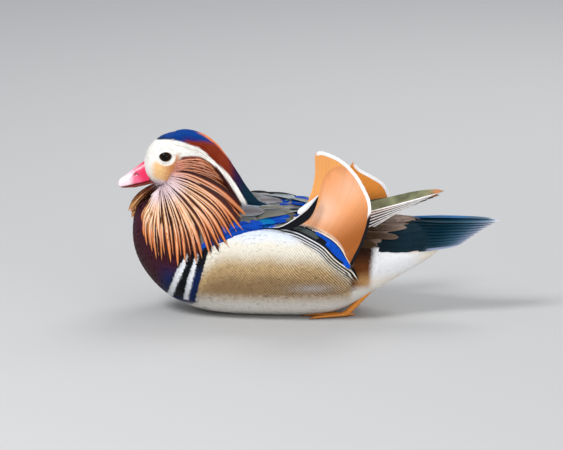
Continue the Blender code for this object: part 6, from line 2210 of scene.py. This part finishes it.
def studio():
    """A wide pale floor and soft lights."""
    mesh = bpy.data.meshes.new("floor")
    profile = [(-14.0, 0.0), (14.0, 0.0)]
    points = [(x, y, z - 0.0004) for y, z in profile for x in (-14.0, 14.0)]
    faces = [(2 * i, 2 * i + 1, 2 * i + 3, 2 * i + 2) for i in range(len(profile) - 1)]
    mesh.from_pydata(points, [], faces)
    mesh.shade_smooth()
    floor = bpy.data.objects.new("floor", mesh)
    bpy.context.scene.collection.objects.link(floor)
    look = bpy.data.materials.new("pale_floor")
    look.use_nodes = True
    look.node_tree.nodes["Principled BSDF"].inputs["Base Color"].default_value = (0.52, 0.52, 0.515, 1)
    look.node_tree.nodes["Principled BSDF"].inputs["Roughness"].default_value = 0.85
    look.node_tree.nodes["Principled BSDF"].inputs["Specular IOR Level"].default_value = 0.1
    mesh.materials.append(look)
    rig.stage(floor)
    for name, place, size, power in (("key", (-0.9, -1.2, 1.7), 0.7, 32.0), ("fill", (1.2, -1.7, 0.35), 1.4, 16.0),
                                     ("rim", (0.4, 1.3, 1.5), 1.0, 14.0)):
        light = bpy.data.lights.new(name, "AREA")
        light.size, light.energy = size, power
        lamp = bpy.data.objects.new(name, light)
        lamp.location = place
        lamp.rotation_euler = (Vector((0, 0, 0.07)) - Vector(place)).to_track_quat("-Z", "Y").to_euler()
        bpy.context.scene.collection.objects.link(lamp)
    world = bpy.data.worlds.new("studio")
    world.use_nodes = True
    world.node_tree.nodes["Background"].inputs["Color"].default_value = (0.9, 0.93, 1.0, 1)
    world.node_tree.nodes["Background"].inputs["Strength"].default_value = 0.55
    bpy.context.scene.world = world
    bpy.context.scene.view_settings.view_transform = "Standard"


CAMERA_TURN, CAMERA_RISE, CAMERA_FAR = math.radians(6), math.radians(12.5), 5.0


def camera():
    """The photograph's view: from the duck's left, a little ahead and above."""
    data = bpy.data.cameras.new("camera")
    data.sensor_width, data.lens = 36, 36 * CAMERA_FAR / 0.5197
    data.shift_x, data.shift_y = -8.5 / 563, 84.5 / 563
    data.clip_end = 50
    obj = bpy.data.objects.new("camera", data)
    flat = math.cos(CAMERA_RISE)
    back = Vector((math.sin(CAMERA_TURN) * flat, -math.cos(CAMERA_TURN) * flat, math.sin(CAMERA_RISE)))
    obj.location = back * CAMERA_FAR
    obj.rotation_euler = (-back).to_track_quat("-Z", "Y").to_euler()
    bpy.context.scene.collection.objects.link(obj)
    bpy.context.scene.camera = obj


def main():
    looks = make_looks()
    forms = core_forms()
    points, faces = skin_mesh(forms)
    skin = new_piece("skin", points, faces, looks["soft"], "breast")
    # The skin takes the markings darkened to 0.85: painted shade under the coat, where it shows between the feathers.
    add_layers(skin.data, markings(points) * 0.85, np.zeros((len(points), 2)), body_unwrap(points))
    coat = Coat(points, faces, 7)
    below = surface(*forms)

    pieces = [skin, *body_pieces(coat, looks)]
    pieces += [ruff_piece(name, below, looks["hackle"]) for name in SIDES]
    pieces.append(crest_piece(below, looks["gloss"]))
    pieces += [wing_piece(coat, name, looks["wing"]) for name in SIDES]
    pieces += [plume_piece(name, looks["wing"]) for name in SIDES]
    pieces += [primary_piece(name, looks["primary"]) for name in SIDES]
    pieces.append(rear_rows(coat, looks["wing"]))
    pieces += [flank_lines(name, below, looks["wing"]) for name in SIDES]
    sails = {name: sail_piece(name, looks["sail"], below) for name in SIDES}
    tail = tail_piece(looks["gloss"])
    upper, lower = bill_pieces(looks["bill"])
    eyes = {name: eye_piece(name, looks["eye"]) for name in SIDES}
    lids = [lid_ring(name, below, looks["lid"]) for name in SIDES]
    feet = {name: foot_piece(name, looks["foot"]) for name in SIDES}

    pieces += [*sails.values(), tail, upper, lower, *eyes.values(), *lids, *feet.values()]
    for piece in pieces:
        slot = piece["slot"]
        del piece["slot"]
        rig.ride(piece, "root")
        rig.slot(piece, slot)
    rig.replaces(skin, "torso", "neck", "head", "tail", "scapulars_left", "scapulars_right",
                "wing_left", "wing_right")
    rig.replaces(upper, "bill_upper")
    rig.replaces(lower, "bill_lower")
    for name in SIDES:
        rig.replaces(sails[name], f"sail_{name}")
        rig.replaces(eyes[name], f"eye_{name}")
        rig.replaces(feet[name], f"leg_{name}")
    studio()
    camera()


main()
bpy.context.view_layer.update()
with open("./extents.json", "w") as sizes:
    json.dump({"cad": plain_box(cad_box), "visual": plain_box(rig.bounds())}, sizes)
